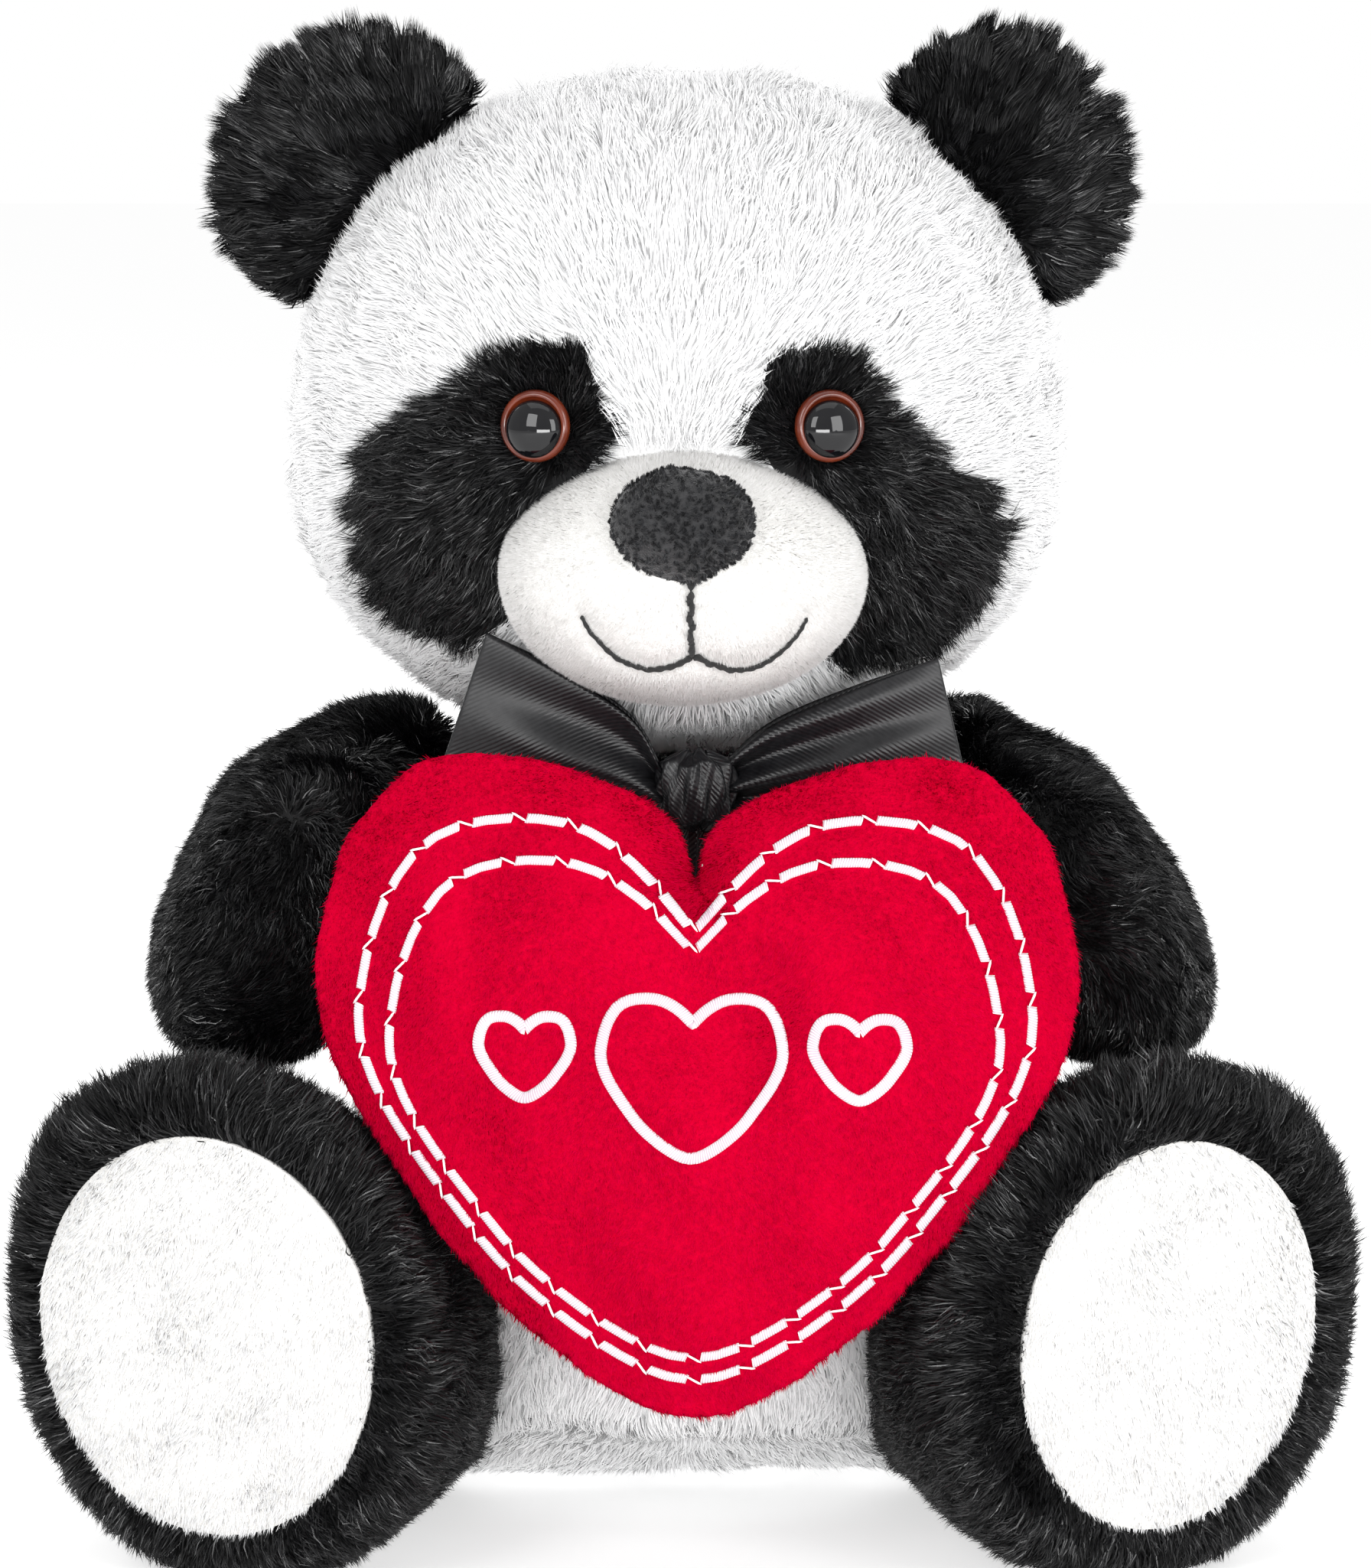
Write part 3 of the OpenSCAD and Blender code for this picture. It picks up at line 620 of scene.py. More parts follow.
def build_muzzle():
    base = muzzle_base()
    skin = make("muzzle_skin", base[0], base[1], [FLEECE_CLOTH], "head", "muzzle_fleece", ("muzzle_cover",))
    filling = make("muzzle_filling", base[0] - normals_of(*base) * 2.0, base[1], [FIBRE], "head",
                   "fibre_filling", ("muzzle_stuffing",))
    fur("muzzle_pile", base, FLEECE, "head", "muzzle_fleece", 19.0, 1.1, away_from(0, -70, 172), 31,
        lambda p: ~inside_ellipsoid(p, NOSE_C, NOSE_HALF - 0.5) & (p[:, 1] < -36),
        stand=0.6, clump=1.0, pull=0.3, width=0.19, segments=1, soft=0.92)
    return base


def build_nose():
    n, tris = icosphere(5)
    p = NOSE_C + n * (NOSE_HALF - 0.5)
    low = np.clip((NOSE_C[2] - p[:, 2]) / 10, 0, 1)
    p[:, 0] *= 1 - 0.22 * low ** 1.5
    base = (p + 0.25 * wobble(p, 6.0, 5), tris)
    skin = make("nose_skin", base[0], base[1], [NOSE_CLOTH], "head", "nose_fleece", ("nose",))
    fur("nose_pile", base, NOSE, "head", "nose_fleece", 26.0, 1.15, lambda p: wobble(p, 2.2, 8), 41,
        stand=0.7, clump=0.8, pull=0.85, width=0.26, segments=1, swirl=0.8, soft=0.3)


def lathe(profile, steps=72):
    """Points and faces of a profile of (radius, height) turned about Z, closed at both ends."""
    prof = np.array(profile, float)
    angle = np.arange(steps) * 2 * np.pi / steps
    pts = np.stack([prof[:, None, 0] * np.cos(angle), prof[:, None, 0] * np.sin(angle),
                    np.broadcast_to(prof[:, None, 1], (len(prof), steps))], -1).reshape(-1, 3)
    faces = []
    for i in range(len(prof) - 1):
        for j in range(steps):
            k = (j + 1) % steps
            faces.append((i * steps + j, i * steps + k, (i + 1) * steps + k, (i + 1) * steps + j))
    return pts, np.array(faces)


def eye_frame(side):
    out = np.array([EYE_X - HEAD_SPREAD, EYE_Y, EYE_Z - HEAD_C[2]])
    z = unit(out)
    turn = rot_z(math.degrees(math.atan2(z[1], z[0]))) @ rot_y(math.degrees(math.acos(z[2])))
    place = np.array([EYE_X, EYE_Y, EYE_Z])

    def put(p):
        q = p @ turn.T + place
        q[:, 0] *= side
        return q
    return put


def build_eyes():
    for side, word in ((1, "left"), (-1, "right")):
        put = eye_frame(side)
        rim = [(0.02, -6), (1.9, -6), (1.9, -0.4), (5.2, -0.4), (5.75, -0.1), (6.0, 0.45), (5.95, 1.0),
               (5.7, 1.45), (5.35, 1.72), (5.0, 1.75), (4.75, 1.5), (4.7, 1.2), (0.02, 1.2)]
        pts, faces = lathe(rim)
        if side < 0:
            faces = faces[:, ::-1]
        make(f"eye_rim_{word}_amber", put(pts), faces, [AMBER], "head", "eye_amber",
             (f"eye_rim_{word}",))
        dome = [(4.8 * math.cos(a), 1.3 + 2.7 * math.sin(a)) for a in np.linspace(0, 1.565, 18)]
        pts, faces = lathe([(0.02, 0.9), (4.8, 0.9)] + dome)
        # the dome sits a little low in its rim
        pts = pts + np.array([0.5, 0, 0])
        if side < 0:
            faces = faces[:, ::-1]
        make(f"eye_dome_{word}_black", put(pts), faces, [EYE_BLACK], "head", "eye_black",
             (f"eye_dome_{word}",))


def tube(path, radius, sides=8, twist=0.0, ridge=0.0):
    """Points and faces of a closed tube along a path, with an optional rope-like ridge."""
    path = np.asarray(path, float)
    step = np.gradient(path, axis=0)
    t = unit(step)
    up = np.array([0.0, 0, 1.0])
    a = unit(np.cross(t, up) + 1e-6)
    b = np.cross(t, a)
    angle = np.arange(sides) * 2 * np.pi / sides
    turn = np.arange(len(path))[:, None] * twist
    r = np.reshape(radius, (-1, 1)) * (1 + ridge * np.cos(2 * (angle[None] - turn)))
    ends = np.ones(len(path))
    ends[0] = ends[-1] = 0.3
    r = r * ends[:, None]
    pts = path[:, None] + r[..., None] * (np.cos(angle)[None, :, None] * a[:, None] +
                                          np.sin(angle)[None, :, None] * b[:, None])
    pts = pts.reshape(-1, 3)
    faces = []
    for i in range(len(path) - 1):
        for j in range(sides):
            k = (j + 1) % sides
            faces.append((i * sides + j, (i + 1) * sides + j, (i + 1) * sides + k, i * sides + k))
    caps = []
    for row in (0, len(path) - 1):
        c = len(pts)
        pts = np.vstack([pts, path[row]])
        for j in range(0, sides, 2):
            ring = [row * sides + j, row * sides + (j + 1) % sides, row * sides + (j + 2) % sides, c]
            caps.append(ring if row == 0 else ring[::-1])
    return pts, np.array(faces + caps)


def joined(parts):
    pts, faces, n = [], [], 0
    for p, f in parts:
        pts.append(p)
        faces.append(np.asarray(f) + n)
        n += len(p)
    return np.vstack(pts), np.vstack(faces)


def on_surface(tree, x, z, lift):
    """Points on the front of a surface at x, z, raised along the surface's normal."""
    out, lean = [], []
    for px, pz in zip(x, z):
        hit, normal, _, _ = tree.ray_cast(Vector((px, -300, pz)), Vector((0, 1, 0)))
        if hit is None:
            hit, normal, _, _ = tree.find_nearest(Vector((px, -100, pz)))
        if normal.y > 0:
            normal = -normal
        out.append(np.array(hit))
        lean.append(np.array(normal))
    return np.array(out) + np.array(lean) * np.reshape(lift, (-1, 1))


def build_mouth(base):
    tree = BVHTree.FromPolygons([Vector(p) for p in base[0]], [tuple(f) for f in base[1]])
    parts = []
    for end, points in MOUTH.items():
        run = np.linspace(0, 1, 46)
        line = curve_points(points, run)
        # the thread sinks into the pile towards the corners of the mouth
        sunk = 0.75 - 0.35 * run * abs(end)
        path = on_surface(tree, line[:, 0], line[:, 1], sunk)
        parts.append(tube(path, 0.5 - 0.17 * run * abs(end), 8, 0.9, 0.22))
    make("mouth_thread", *joined(parts), [BLACK_THREAD], "head", "black_thread", ("mouth_stitching",))


# ---------------------------------------------------------------- ears


def build_ears():
    for side, word in ((1, "left"), (-1, "right")):
        base = remeshed([f"ear_front_{word}", f"ear_back_{word}"], 1.6, 6, -2.4)
        seam = np.array([side * 50.28, 0, 219.5])
        up = np.array([side * math.sin(math.radians(50)), 0, math.cos(math.radians(50))])
        p = base[0]
        if side > 0:
            p = p - np.outer(3.4 * np.clip((p[:, 0] - 52) / 18, 0, 1), [1, 0, 0])
        # the front face is a shallow dish
        d = np.linalg.norm(p - (seam + up * 15), axis=1)
        dish = np.clip(1 - d / 20, 0, 1)
        p = p + np.array([0, 1.0, 0]) * (2.2 * dish * (p[:, 1] < 0))[:, None]
        base = (p, base[1])
        ob = make(f"ear_{word}_skin", *base, [BLACK_CLOTH], f"ear_{word}", "black_plush",
                  (f"ear_front_{word}", f"ear_back_{word}"))
        low = seam - up * 9
        comb = away_from(*low)
        for part, where in (("front", lambda q: q[:, 1] <= 0), ("back", lambda q: q[:, 1] > 0)):
            fur(f"ear_{part}_{word}_fur", base, BLACK_FUR, f"ear_{word}", "black_plush", 14.0,
                lambda q: 5.0 + 3.0 * np.clip(((q - seam) @ up) / 22, 0, 1), comb,
                50 + side + (3 if part == "back" else 0),
                lambda q, w=where: w(q) & ((((q - HEAD_C) / 56.5) ** 2).sum(1) > 1.0),
                stand=0.45, clump=7.0, pull=0.75, width=0.24, soft=0.4)


# ---------------------------------------------------------------- torso, tail and neck


def bezier(a, b, c, d, t):
    a, b, c, d = (np.array(q, float) for q in (a, b, c, d))
    t = np.asarray(t)[:, None]
    return (1 - t) ** 3 * a + 3 * (1 - t) ** 2 * t * b + 3 * (1 - t) * t * t * c + t ** 3 * d


def torso_base(inset):
    low = bezier([40, 0], [51, 1], [56, 18], [56, 50], np.linspace(0, 1, 18))
    high = bezier([56, 50], [56, 84], [49, 108], [32, 121], np.linspace(0, 1, 26)[1:])
    prof = np.vstack([low, high])
    prof = np.column_stack([prof[:, 0] - inset, inset + prof[:, 1] * (1 - 2 * inset / 121)])
    floor = np.column_stack([np.linspace(0.5, prof[0, 0], 9)[:-1], np.full(8, prof[0, 1])])
    top = np.column_stack([np.linspace(prof[-1, 0], 0.5, 8)[1:], np.full(7, prof[-1, 1])])
    pts, faces = lathe(np.vstack([floor, prof, top]), 112)
    pts = pts @ rot_x(-11).T + np.array([0, -12, 1.0])
    tris = np.vstack([faces[:, [0, 1, 2]], faces[:, [0, 2, 3]]])
    n = normals_of(pts, tris)
    # soft folds where the belly meets the legs
    fold = wobble(pts * np.array([1, 1, 0.45]), 34.0, 77, 1)[:, 0]
    pts = pts + n * (0.9 * fold * (pts[:, 1] < 0))[:, None]
    pts[:, 2] = np.maximum(pts[:, 2], inset)
    # the belly is rounded up off the floor in front
    pts[:, 2] += 9.0 * np.clip((-14 - pts[:, 1]) / 26, 0, 1) ** 1.3 * np.exp(-(pts[:, 2] / 26) ** 2)
    return pts, tris


def clear_of_limbs(p):
    ok = np.linalg.norm(p - NECK_C, axis=1) > 19
    for side in (-1, 1):
        ok &= np.linalg.norm(p - np.array([side * 51, 6, 116.0]), axis=1) > 15
        ok &= np.linalg.norm(p - HIP * np.array([side, 1, 1]), axis=1) > 24
    return ok


def build_torso():
    base = torso_base(1.0)
    skin = make("torso_skin", *base, [WHITE_CLOTH], "torso", "white_plush",
                ("body_front_panel", "body_back_panel", "seat_panel"))
    inner = torso_base(3.0)
    filling = make("body_filling", *inner, [FIBRE], "torso", "fibre_filling", ("body_stuffing",))
    down = lambda p: np.array([0, 0, -1.0]) + 0.4 * unit(p * np.array([1, 1, 0]))
    seat = lambda p: p[:, 2] < 6
    parts = {"body_front_fur": lambda p: (p[:, 1] < -6) & ~seat(p),
             "body_back_fur": lambda p: (p[:, 1] >= -6) & ~seat(p)}
    for i, (name, where) in enumerate(parts.items()):
        fur(name, base, WHITE_FUR, "torso", "white_plush", 3.4, 4.8, down, 60 + i,
            lambda p, w=where: w(p) & clear_of_limbs(p),
            stand=0.45, clump=8.0, pull=0.5, width=0.27, soft=0.88)
    fur("seat_pile", base, WHITE_FUR, "torso", "white_plush", 2.5, 2.0,
        lambda p: unit(p * np.array([1, 1, 0])), 64,
        lambda p: seat(p) & (p[:, 2] > 1.5), stand=0.35, clump=3.0, pull=0.4, segments=1)
    n, tris = icosphere(4)
    tail = (np.array([0, 53, 33.0]) + n * np.array([10, 10, 9.0]), tris)
    ob = make("tail_skin", *tail, [WHITE_CLOTH], "torso", "white_plush", ("tail",))
    fur("tail_fur", tail, WHITE_FUR, "torso", "white_plush", 4.5, 5.0, away_from(0, 45, 37), 66,
        stand=0.55, clump=6.0, pull=0.55, width=0.28, soft=0.85)
    neck = (NECK_C + n * 21.0, tris)
    ob = make("neck_skin", *neck, [WHITE_CLOTH], "neck", "fibre_filling", ("neck_stuffing",))


# ---------------------------------------------------------------- ribbon

RIBBON_THICK = 0.35


def slab(grid, thick):
    """A closed thin sheet from a grid of points (rows, columns, 3), with UVs in metres."""
    rows, cols, _ = grid.shape
    du, dv = np.gradient(grid, axis=0), np.gradient(grid, axis=1)
    n = unit(np.cross(du, dv)) * thick / 2
    top, low = (grid + n).reshape(-1, 3), (grid - n).reshape(-1, 3)
    m = rows * cols
    idx = np.arange(m).reshape(rows, cols)
    q = np.stack([idx[:-1, :-1], idx[1:, :-1], idx[1:, 1:], idx[:-1, 1:]], -1).reshape(-1, 4)
    faces = [q, q[:, ::-1] + m]
    for line, flip in ((idx[0], 0), (idx[-1], 1), (idx[:, 0], 1), (idx[:, -1], 0)):
        e = np.stack([line[:-1], line[1:], line[1:] + m, line[:-1] + m], -1)
        faces.append(e[:, ::-1] if flip else e)
    run = np.concatenate([[0], np.cumsum(np.linalg.norm(np.diff(grid.mean(1), axis=0), axis=1))])
    across = np.linspace(0, 1, cols) * np.linalg.norm(np.diff(grid[rows // 2], axis=0), axis=1).sum()
    uv = np.stack(np.broadcast_arrays(run[:, None], across[None, :]), -1).reshape(-1, 2) / 1000
    return np.vstack([top, low]), np.vstack(faces), np.vstack([uv, uv])


def satin_sheet(name, grid, node):
    pts, faces, uv = slab(grid, RIBBON_THICK)
    ob = make(name, pts, faces, [SATIN], "head", "satin_ribbon", (node,), uv=uv)


def curve_points(points, t):
    """A smooth run through a few points, at t from 0 to 1."""
    points = np.array(points, float)
    knots = np.linspace(0, 1, len(points))
    out = np.empty((len(t), points.shape[1]))
    slopes = np.gradient(points, knots, axis=0)
    for i, s in enumerate(t):
        k = min(int(s * (len(points) - 1)), len(points) - 2)
        h = knots[k + 1] - knots[k]
        r = (s - knots[k]) / h
        out[i] = ((2 * r ** 3 - 3 * r ** 2 + 1) * points[k] + (r ** 3 - 2 * r ** 2 + r) * h * slopes[k]
                  + (-2 * r ** 3 + 3 * r ** 2) * points[k + 1] + (r ** 3 - r ** 2) * h * slopes[k + 1])
    return out


def bow_loop(top, low, pleats, phase):
    """A ribbon loop: out from the knot in front, round the fold and back behind."""
    rows, cols = 90, 44
    t = np.linspace(0, 1, rows)
    reach = np.minimum(1, 1.06 * np.sin(np.pi * t) ** 0.62)
    front = np.cos(np.pi * t)
    upper, lower = curve_points(top, reach), curve_points(low, reach)
    v = np.linspace(0, 1, cols)
    grid = np.zeros((rows, cols, 3))
    for i in range(rows):
        e = reach[i]
        line = lower[i] + (upper[i] - lower[i]) * v[:, None]
        pinch = 2.1 * (1 - e) ** 1.1 + 0.25
        ripple = pinch * np.cos(2 * np.pi * pleats * v + phase + 1.5 * e)
        puff = (3.4 * math.sin(math.pi * min(1, e * 0.95)) + 1.0) * (0.6 + 0.4 * np.sin(np.pi * v))
        y = -52.5 - front[i] * (puff + 0.6) + ripple * (0.9 if front[i] > 0 else 0.6)
        grid[i, :, 0], grid[i, :, 2] = line[:, 0], line[:, 1]
        grid[i, :, 1] = y + 2.0 * e
    return grid


def build_bow():
    left = bow_loop([(6.0, 129.0), (14.5, 136.2), (28.5, 142.2), (42.2, 146.9)],
                    [(6.0, 120.5), (18, 119.5), (32, 120.5), (47.5, 124.5)], 2.5, 0.6)
    right = bow_loop([(-2.5, 126.5), (-8.3, 137.2), (-20.8, 145.4), (-32.3, 151.2)],
                     [(-2.5, 119.5), (-14, 118.0), (-28, 120.0), (-41, 125.5)], 2.0, 2.2)
    satin_sheet("bow_loop_left_satin", left, "bow_loop_left")
    satin_sheet("bow_loop_right_satin", right, "bow_loop_right")
    # the knot: a short tube of gathered ribbon, upright folds pinched at its middle
    rows, cols = 64, 160
    v = np.linspace(-1, 1, rows)
    a = np.linspace(0, 2 * np.pi, cols)
    grid = np.zeros((rows, cols, 3))
    for i, s in enumerate(v):
        waist = 1.04 - 0.26 * s * s - 0.5 * max(0, abs(s) - 0.75) / 0.25
        ripple = 1 + 0.08 * np.cos(8 * a + 2.4 * s) + 0.05 * np.cos(15 * a - 3 * s + 1)
        grid[i, :, 0] = 2.2 + 6.0 * waist * ripple * np.cos(a)
        grid[i, :, 1] = -54.8 + 4.6 * waist * ripple * np.sin(a)
        grid[i, :, 2] = 125.6 + 6.3 * s + 0.5 * np.cos(5 * a)
    pts, faces, uv = slab(grid, RIBBON_THICK)
    ob = make("bow_knot_satin", pts, faces, [SATIN], "head", "satin_ribbon", ("bow_knot",), uv=uv)
    # two tails hang from the knot behind the cushion
    for side, word in ((1, "left"), (-1, "right")):
        t, w = np.linspace(0, 1, 40), np.linspace(-1, 1, 22)
        fall = [(1 + side * 2, -52.5, 124), (1 + side * 6, -52.5, 114), (1 + side * 11, -53, 99)]
        mid = curve_points(fall, t)
        half = 3.2 + 5.4 * np.minimum(1, t * 1.6) ** 0.8
        grid = mid[:, None] + (half[:, None] * w)[..., None] * unit(np.array([1, 0, side * 0.35]))
        grid[..., 1] += 0.8 * np.cos(3 * w + side)[None] * (1.2 - 0.7 * t)[:, None]
        grid[-1, :, 2] += 1.5 * np.abs(w)
        satin_sheet(f"ribbon_tail_{word}_satin", grid, f"ribbon_tail_{word}")
    # the band round the neck
    a = np.linspace(0.03, 2 * np.pi - 0.03, 150) - np.pi / 2
    w = np.linspace(-1, 1, 14)
    grid = np.zeros((len(a), len(w), 3))
    ring = np.stack([38.5 * np.cos(a), -8 + 43.5 * np.sin(a)], 1)
    for j, s in enumerate(w):
        sway = 1 + 0.012 * np.cos(7 * a + 2 * s) - 0.05 * s * s
        grid[:, j, 0], grid[:, j, 1] = ring[:, 0] * sway, -8 + (ring[:, 1] + 8) * sway
        front = np.exp(-((a + np.pi / 2) / 0.75) ** 2) + np.exp(-((a - 1.5 * np.pi) / 0.75) ** 2)
        grid[:, j, 2] = 128.5 - 3.5 * front + (6.5 - 3.2 * front) * s + 0.5 * np.cos(4 * a)
    satin_sheet("neck_ribbon_satin", grid, "neck_ribbon")


# ---------------------------------------------------------------- arms and legs


ARM_LEVELS = (72, 84, 94, 105, 116, 127, 140)
ARM_SWAY = {1: (8, 4.5, 0.5, -2.8, -7, -8.5, -5), -1: (6, 3.5, 1.5, -1, -2.5, -2.5, 0)}


def build_arms():
    for side, word in ((1, "left"), (-1, "right")):
        pts, tris = remeshed([f"arm_stuffing_{word}"], 2.4, 14, 1.6)
        # the arms slope down from the shoulders and hang fuller at the paws
        out = np.interp(pts[:, 2], ARM_LEVELS, ARM_SWAY[side]) * np.clip((np.abs(pts[:, 0]) - 42) / 22, 0, 1)
        pts = pts + np.outer(out * side, [1, 0, 0])
        # a crease at the elbow parts the paw from the upper arm
        x = pts * np.array([side, 1, 1])
        n = normals_of(pts, tris)
        top = np.clip((x[:, 2] - 96) / 16, 0, 1) * np.clip((x[:, 0] - 52) / 12, 0, 1)
        crease = np.exp(-((x[:, 1] + 21) / 5.0) ** 2) * top
        pts = pts - n * (4.0 * crease)[:, None]
        pts = smoothed(pts, tris, 1)
        base = (pts, tris)
        skin = make(f"arm_{word}_skin", *base, [BLACK_CLOTH], f"arm_{word}", "black_plush",
                    (f"arm_cover_{word}",))
        filling = make(f"arm_{word}_filling", pts - n * 2.0, tris, [FIBRE], f"arm_{word}", "fibre_filling",
                       (f"arm_stuffing_{word}",))
        fur(f"arm_{word}_fur", base, BLACK_FUR, f"arm_{word}", "black_plush", 8.0, 5.0,
            lambda p: np.array([side * 0.5, 0.1, -1.0]) + 0.7 * wobble(p, 26.0, 31), 80 + side,
            lambda p: np.linalg.norm(p - np.array([side * 42, 10, 118.0]), axis=1) > 12,
            stand=0.55, clump=4.0, pull=0.5, width=0.24, spread=0.4, soft=0.25)


HIP = np.array([52, -22, 28.0])
LEG_TURN = rot_z(22.5)
SOLE_C = np.array([0, -71.5, 12.5])


def leg_frame(p, side):
    """Design points as seen from the hip, with the leg along -Y."""
    q = p * np.array([side, 1, 1]) - HIP
    return q @ LEG_TURN


def from_leg(q, side):
    p = q @ LEG_TURN.T + HIP
    return p * np.array([side, 1, 1])


def build_legs():
    for side, word in ((1, "left"), (-1, "right")):
        pts, tris = remeshed([f"leg_stuffing_{word}"], 2.6, 8, 1.5)
        # the foot is fuller above and outside the sole
        q = leg_frame(pts, side)
        full = np.exp(-((q[:, 0] - 24) / 17) ** 2 - ((q[:, 2] - 42) / 17) ** 2)
        full *= np.clip((-q[:, 1] - 30) / 25, 0, 1)
        q = q + full[:, None] * np.array([2.0, 0, 1.0])
        # and on its inner side
        full = np.exp(-((q[:, 0] + 28) / 14) ** 2 - ((q[:, 2] + 4) / 24) ** 2)
        full *= np.clip((-q[:, 1] - 20) / 25, 0, 1)
        q[:, 0] -= 4.5 * full
        q[:, 1] = np.maximum(q[:, 1], SOLE_C[1] + 0.7)
        pts = from_leg(q, side)
        pts[:, 2] = np.maximum(pts[:, 2], 0.6)
        base = (pts, tris)
        n = normals_of(*base)
        skin = make(f"leg_{word}_skin", *base, [BLACK_CLOTH], f"leg_{word}", "black_plush",
                    (f"leg_cover_{word}",))
        inner = pts - n * 2.0
        inner[:, 2] = np.maximum(inner[:, 2], 1.6)
        filling = make(f"leg_{word}_filling", inner, tris, [FIBRE], f"leg_{word}", "fibre_filling",
                       (f"leg_stuffing_{word}",))
        # the sole: an oval pad, a little domed
        tilt = rot_y(12)
        half = np.array([26.2, 32.2]) if side > 0 else np.array([29.8, 33.0])
        rings, steps = 22, 120
        r = np.sin(np.linspace(0.02, 1, rings) * np.pi / 2)
        a = np.arange(steps) * 2 * np.pi / steps
        flat = np.stack([r[:, None] * np.cos(a) * half[0], -2.6 * (1 - r[:, None] ** 4) * np.ones(steps),
                         r[:, None] * np.sin(a) * half[1]], -1).reshape(-1, 3)
        flat[:, 1] += 0.25 * wobble(flat, 18.0, 9 + side, 1)[:, 0]
        faces = []
        for i in range(rings - 1):
            for j in range(steps):
                k = (j + 1) % steps
                faces += [(i * steps + j, i * steps + k, (i + 1) * steps + k),
                          (i * steps + j, (i + 1) * steps + k, (i + 1) * steps + j)]
        for j in range(1, steps - 1):
            faces.append((0, j + 1, j))
        faces = np.array(faces)
        back = flat + np.array([0, 1.4, 0])
        back[:, 1] = 1.4
        m = len(flat)
        closed = [faces, faces[:, ::-1] + m]
        edge = (rings - 1) * steps + np.arange(steps)
        nxt = (rings - 1) * steps + (np.arange(steps) + 1) % steps
        closed += [np.stack([edge, nxt, nxt + m], 1), np.stack([edge, nxt + m, edge + m], 1)]
        sole_c = SOLE_C + np.array([0 if side > 0 else -1.8, 0, 0])
        place = lambda q: from_leg((q @ tilt.T) + sole_c, side)
        shell, shell_tris = place(np.vstack([flat, back])), np.vstack(closed)
        front_tris = faces
        if side < 0:
            shell_tris, front_tris = shell_tris[:, ::-1], faces[:, ::-1]
        surface = place(flat)
        n_mid = normals_of(surface, front_tris)[5 * steps]
        if n_mid[1] > 0:
            shell_tris, front_tris = shell_tris[:, ::-1], front_tris[:, ::-1]
        make(f"sole_{word}_skin", shell, shell_tris, [FLEECE_CLOTH], f"leg_{word}", "sole_fleece",
             (f"foot_sole_{word}",))
        fur(f"sole_{word}_pile", (surface, front_tris), SOLE, f"leg_{word}", "sole_fleece", 8.0, 1.7,
            lambda p: np.array([0, 0, -1.0]) + 0 * p, 90 + side, stand=0.5, clump=2.0, pull=0.35,
            width=0.32, segments=1, soft=0.96)

        def off_sole(p):
            q = (leg_frame(p, side) - sole_c) @ tilt
            inside = (q[:, 0] / (half[0] - 0.8)) ** 2 + (q[:, 2] / (half[1] - 0.8)) ** 2 < 1
            return ~(inside & (q[:, 1] < 4))

        centre = from_leg(SOLE_C[None] + np.array([0, -6.0, 0]), side)[0]
        fur(f"leg_{word}_fur", base, BLACK_FUR, f"leg_{word}", "black_plush", 6.0,
            lambda p: 5.2 + 2.2 * np.clip((p[:, 2] - 50) / 25, 0, 1),
            away_from(*centre), 100 + side,
            lambda p: off_sole(p) & (p[:, 2] > 0.9),
            stand=0.55, clump=4.5, pull=0.5, width=0.26, spread=0.35, soft=0.25)


# ---------------------------------------------------------------- heart cushion

HEART_C = np.array([2.3, -85.2, 101.0])
HEART_TURN = rot_z(-3) @ rot_x(-7)
HEART_W, HEART_RISE, HEART_DROP, HEART_T = 63.0, 35.2, 74.4, 17.0
NOTCH_SINK = 4.4
# The right half from the notch to the tip, as shares of the half width and of the rise or drop.
# Another script smoothed and evenly spaced these from points taken off the photo, as in part.scad.
HEART_CURVE = [
    (0, 0.51), (0.053, 0.608), (0.111, 0.71), (0.175, 0.8), (0.243, 0.877), (0.315, 0.939),
    (0.39, 0.98), (0.468, 0.998), (0.546, 1), (0.625, 0.987), (0.701, 0.956), (0.774, 0.898),
    (0.836, 0.806), (0.885, 0.685), (0.924, 0.552), (0.954, 0.409), (0.976, 0.261), (0.991, 0.11),
    (1, -0.018), (0.996, -0.081), (0.979, -0.144), (0.954, -0.204), (0.922, -0.262), (0.885, -0.319),
    (0.845, -0.373), (0.802, -0.427), (0.758, -0.48), (0.713, -0.532), (0.668, -0.584), (0.623, -0.636),
    (0.574, -0.686), (0.521, -0.733), (0.465, -0.778), (0.406, -0.82), (0.346, -0.861), (0.283, -0.899),
    (0.218, -0.934), (0.15, -0.966), (0.077, -0.99), (0, -1)]


def heart_outline(step=2.6, scale=1.0):
    """Outline of the heart, clockwise from the notch, in its own x and z."""
    half = np.array(HEART_CURVE)
    half = half * np.where(half[:, 1:] > 0, [HEART_W, HEART_RISE], [HEART_W, HEART_DROP])
    whole = np.vstack([half, half[-2:0:-1] * np.array([-1, 1])])
    loop = np.vstack([whole, whole[:1]])
    run = np.concatenate([[0], np.cumsum(np.linalg.norm(np.diff(loop, axis=0), axis=1))])
    at = np.arange(0, run[-1] - step / 2, step)
    return np.column_stack([np.interp(at, run, loop[:, 0]), np.interp(at, run, loop[:, 1])]) * scale


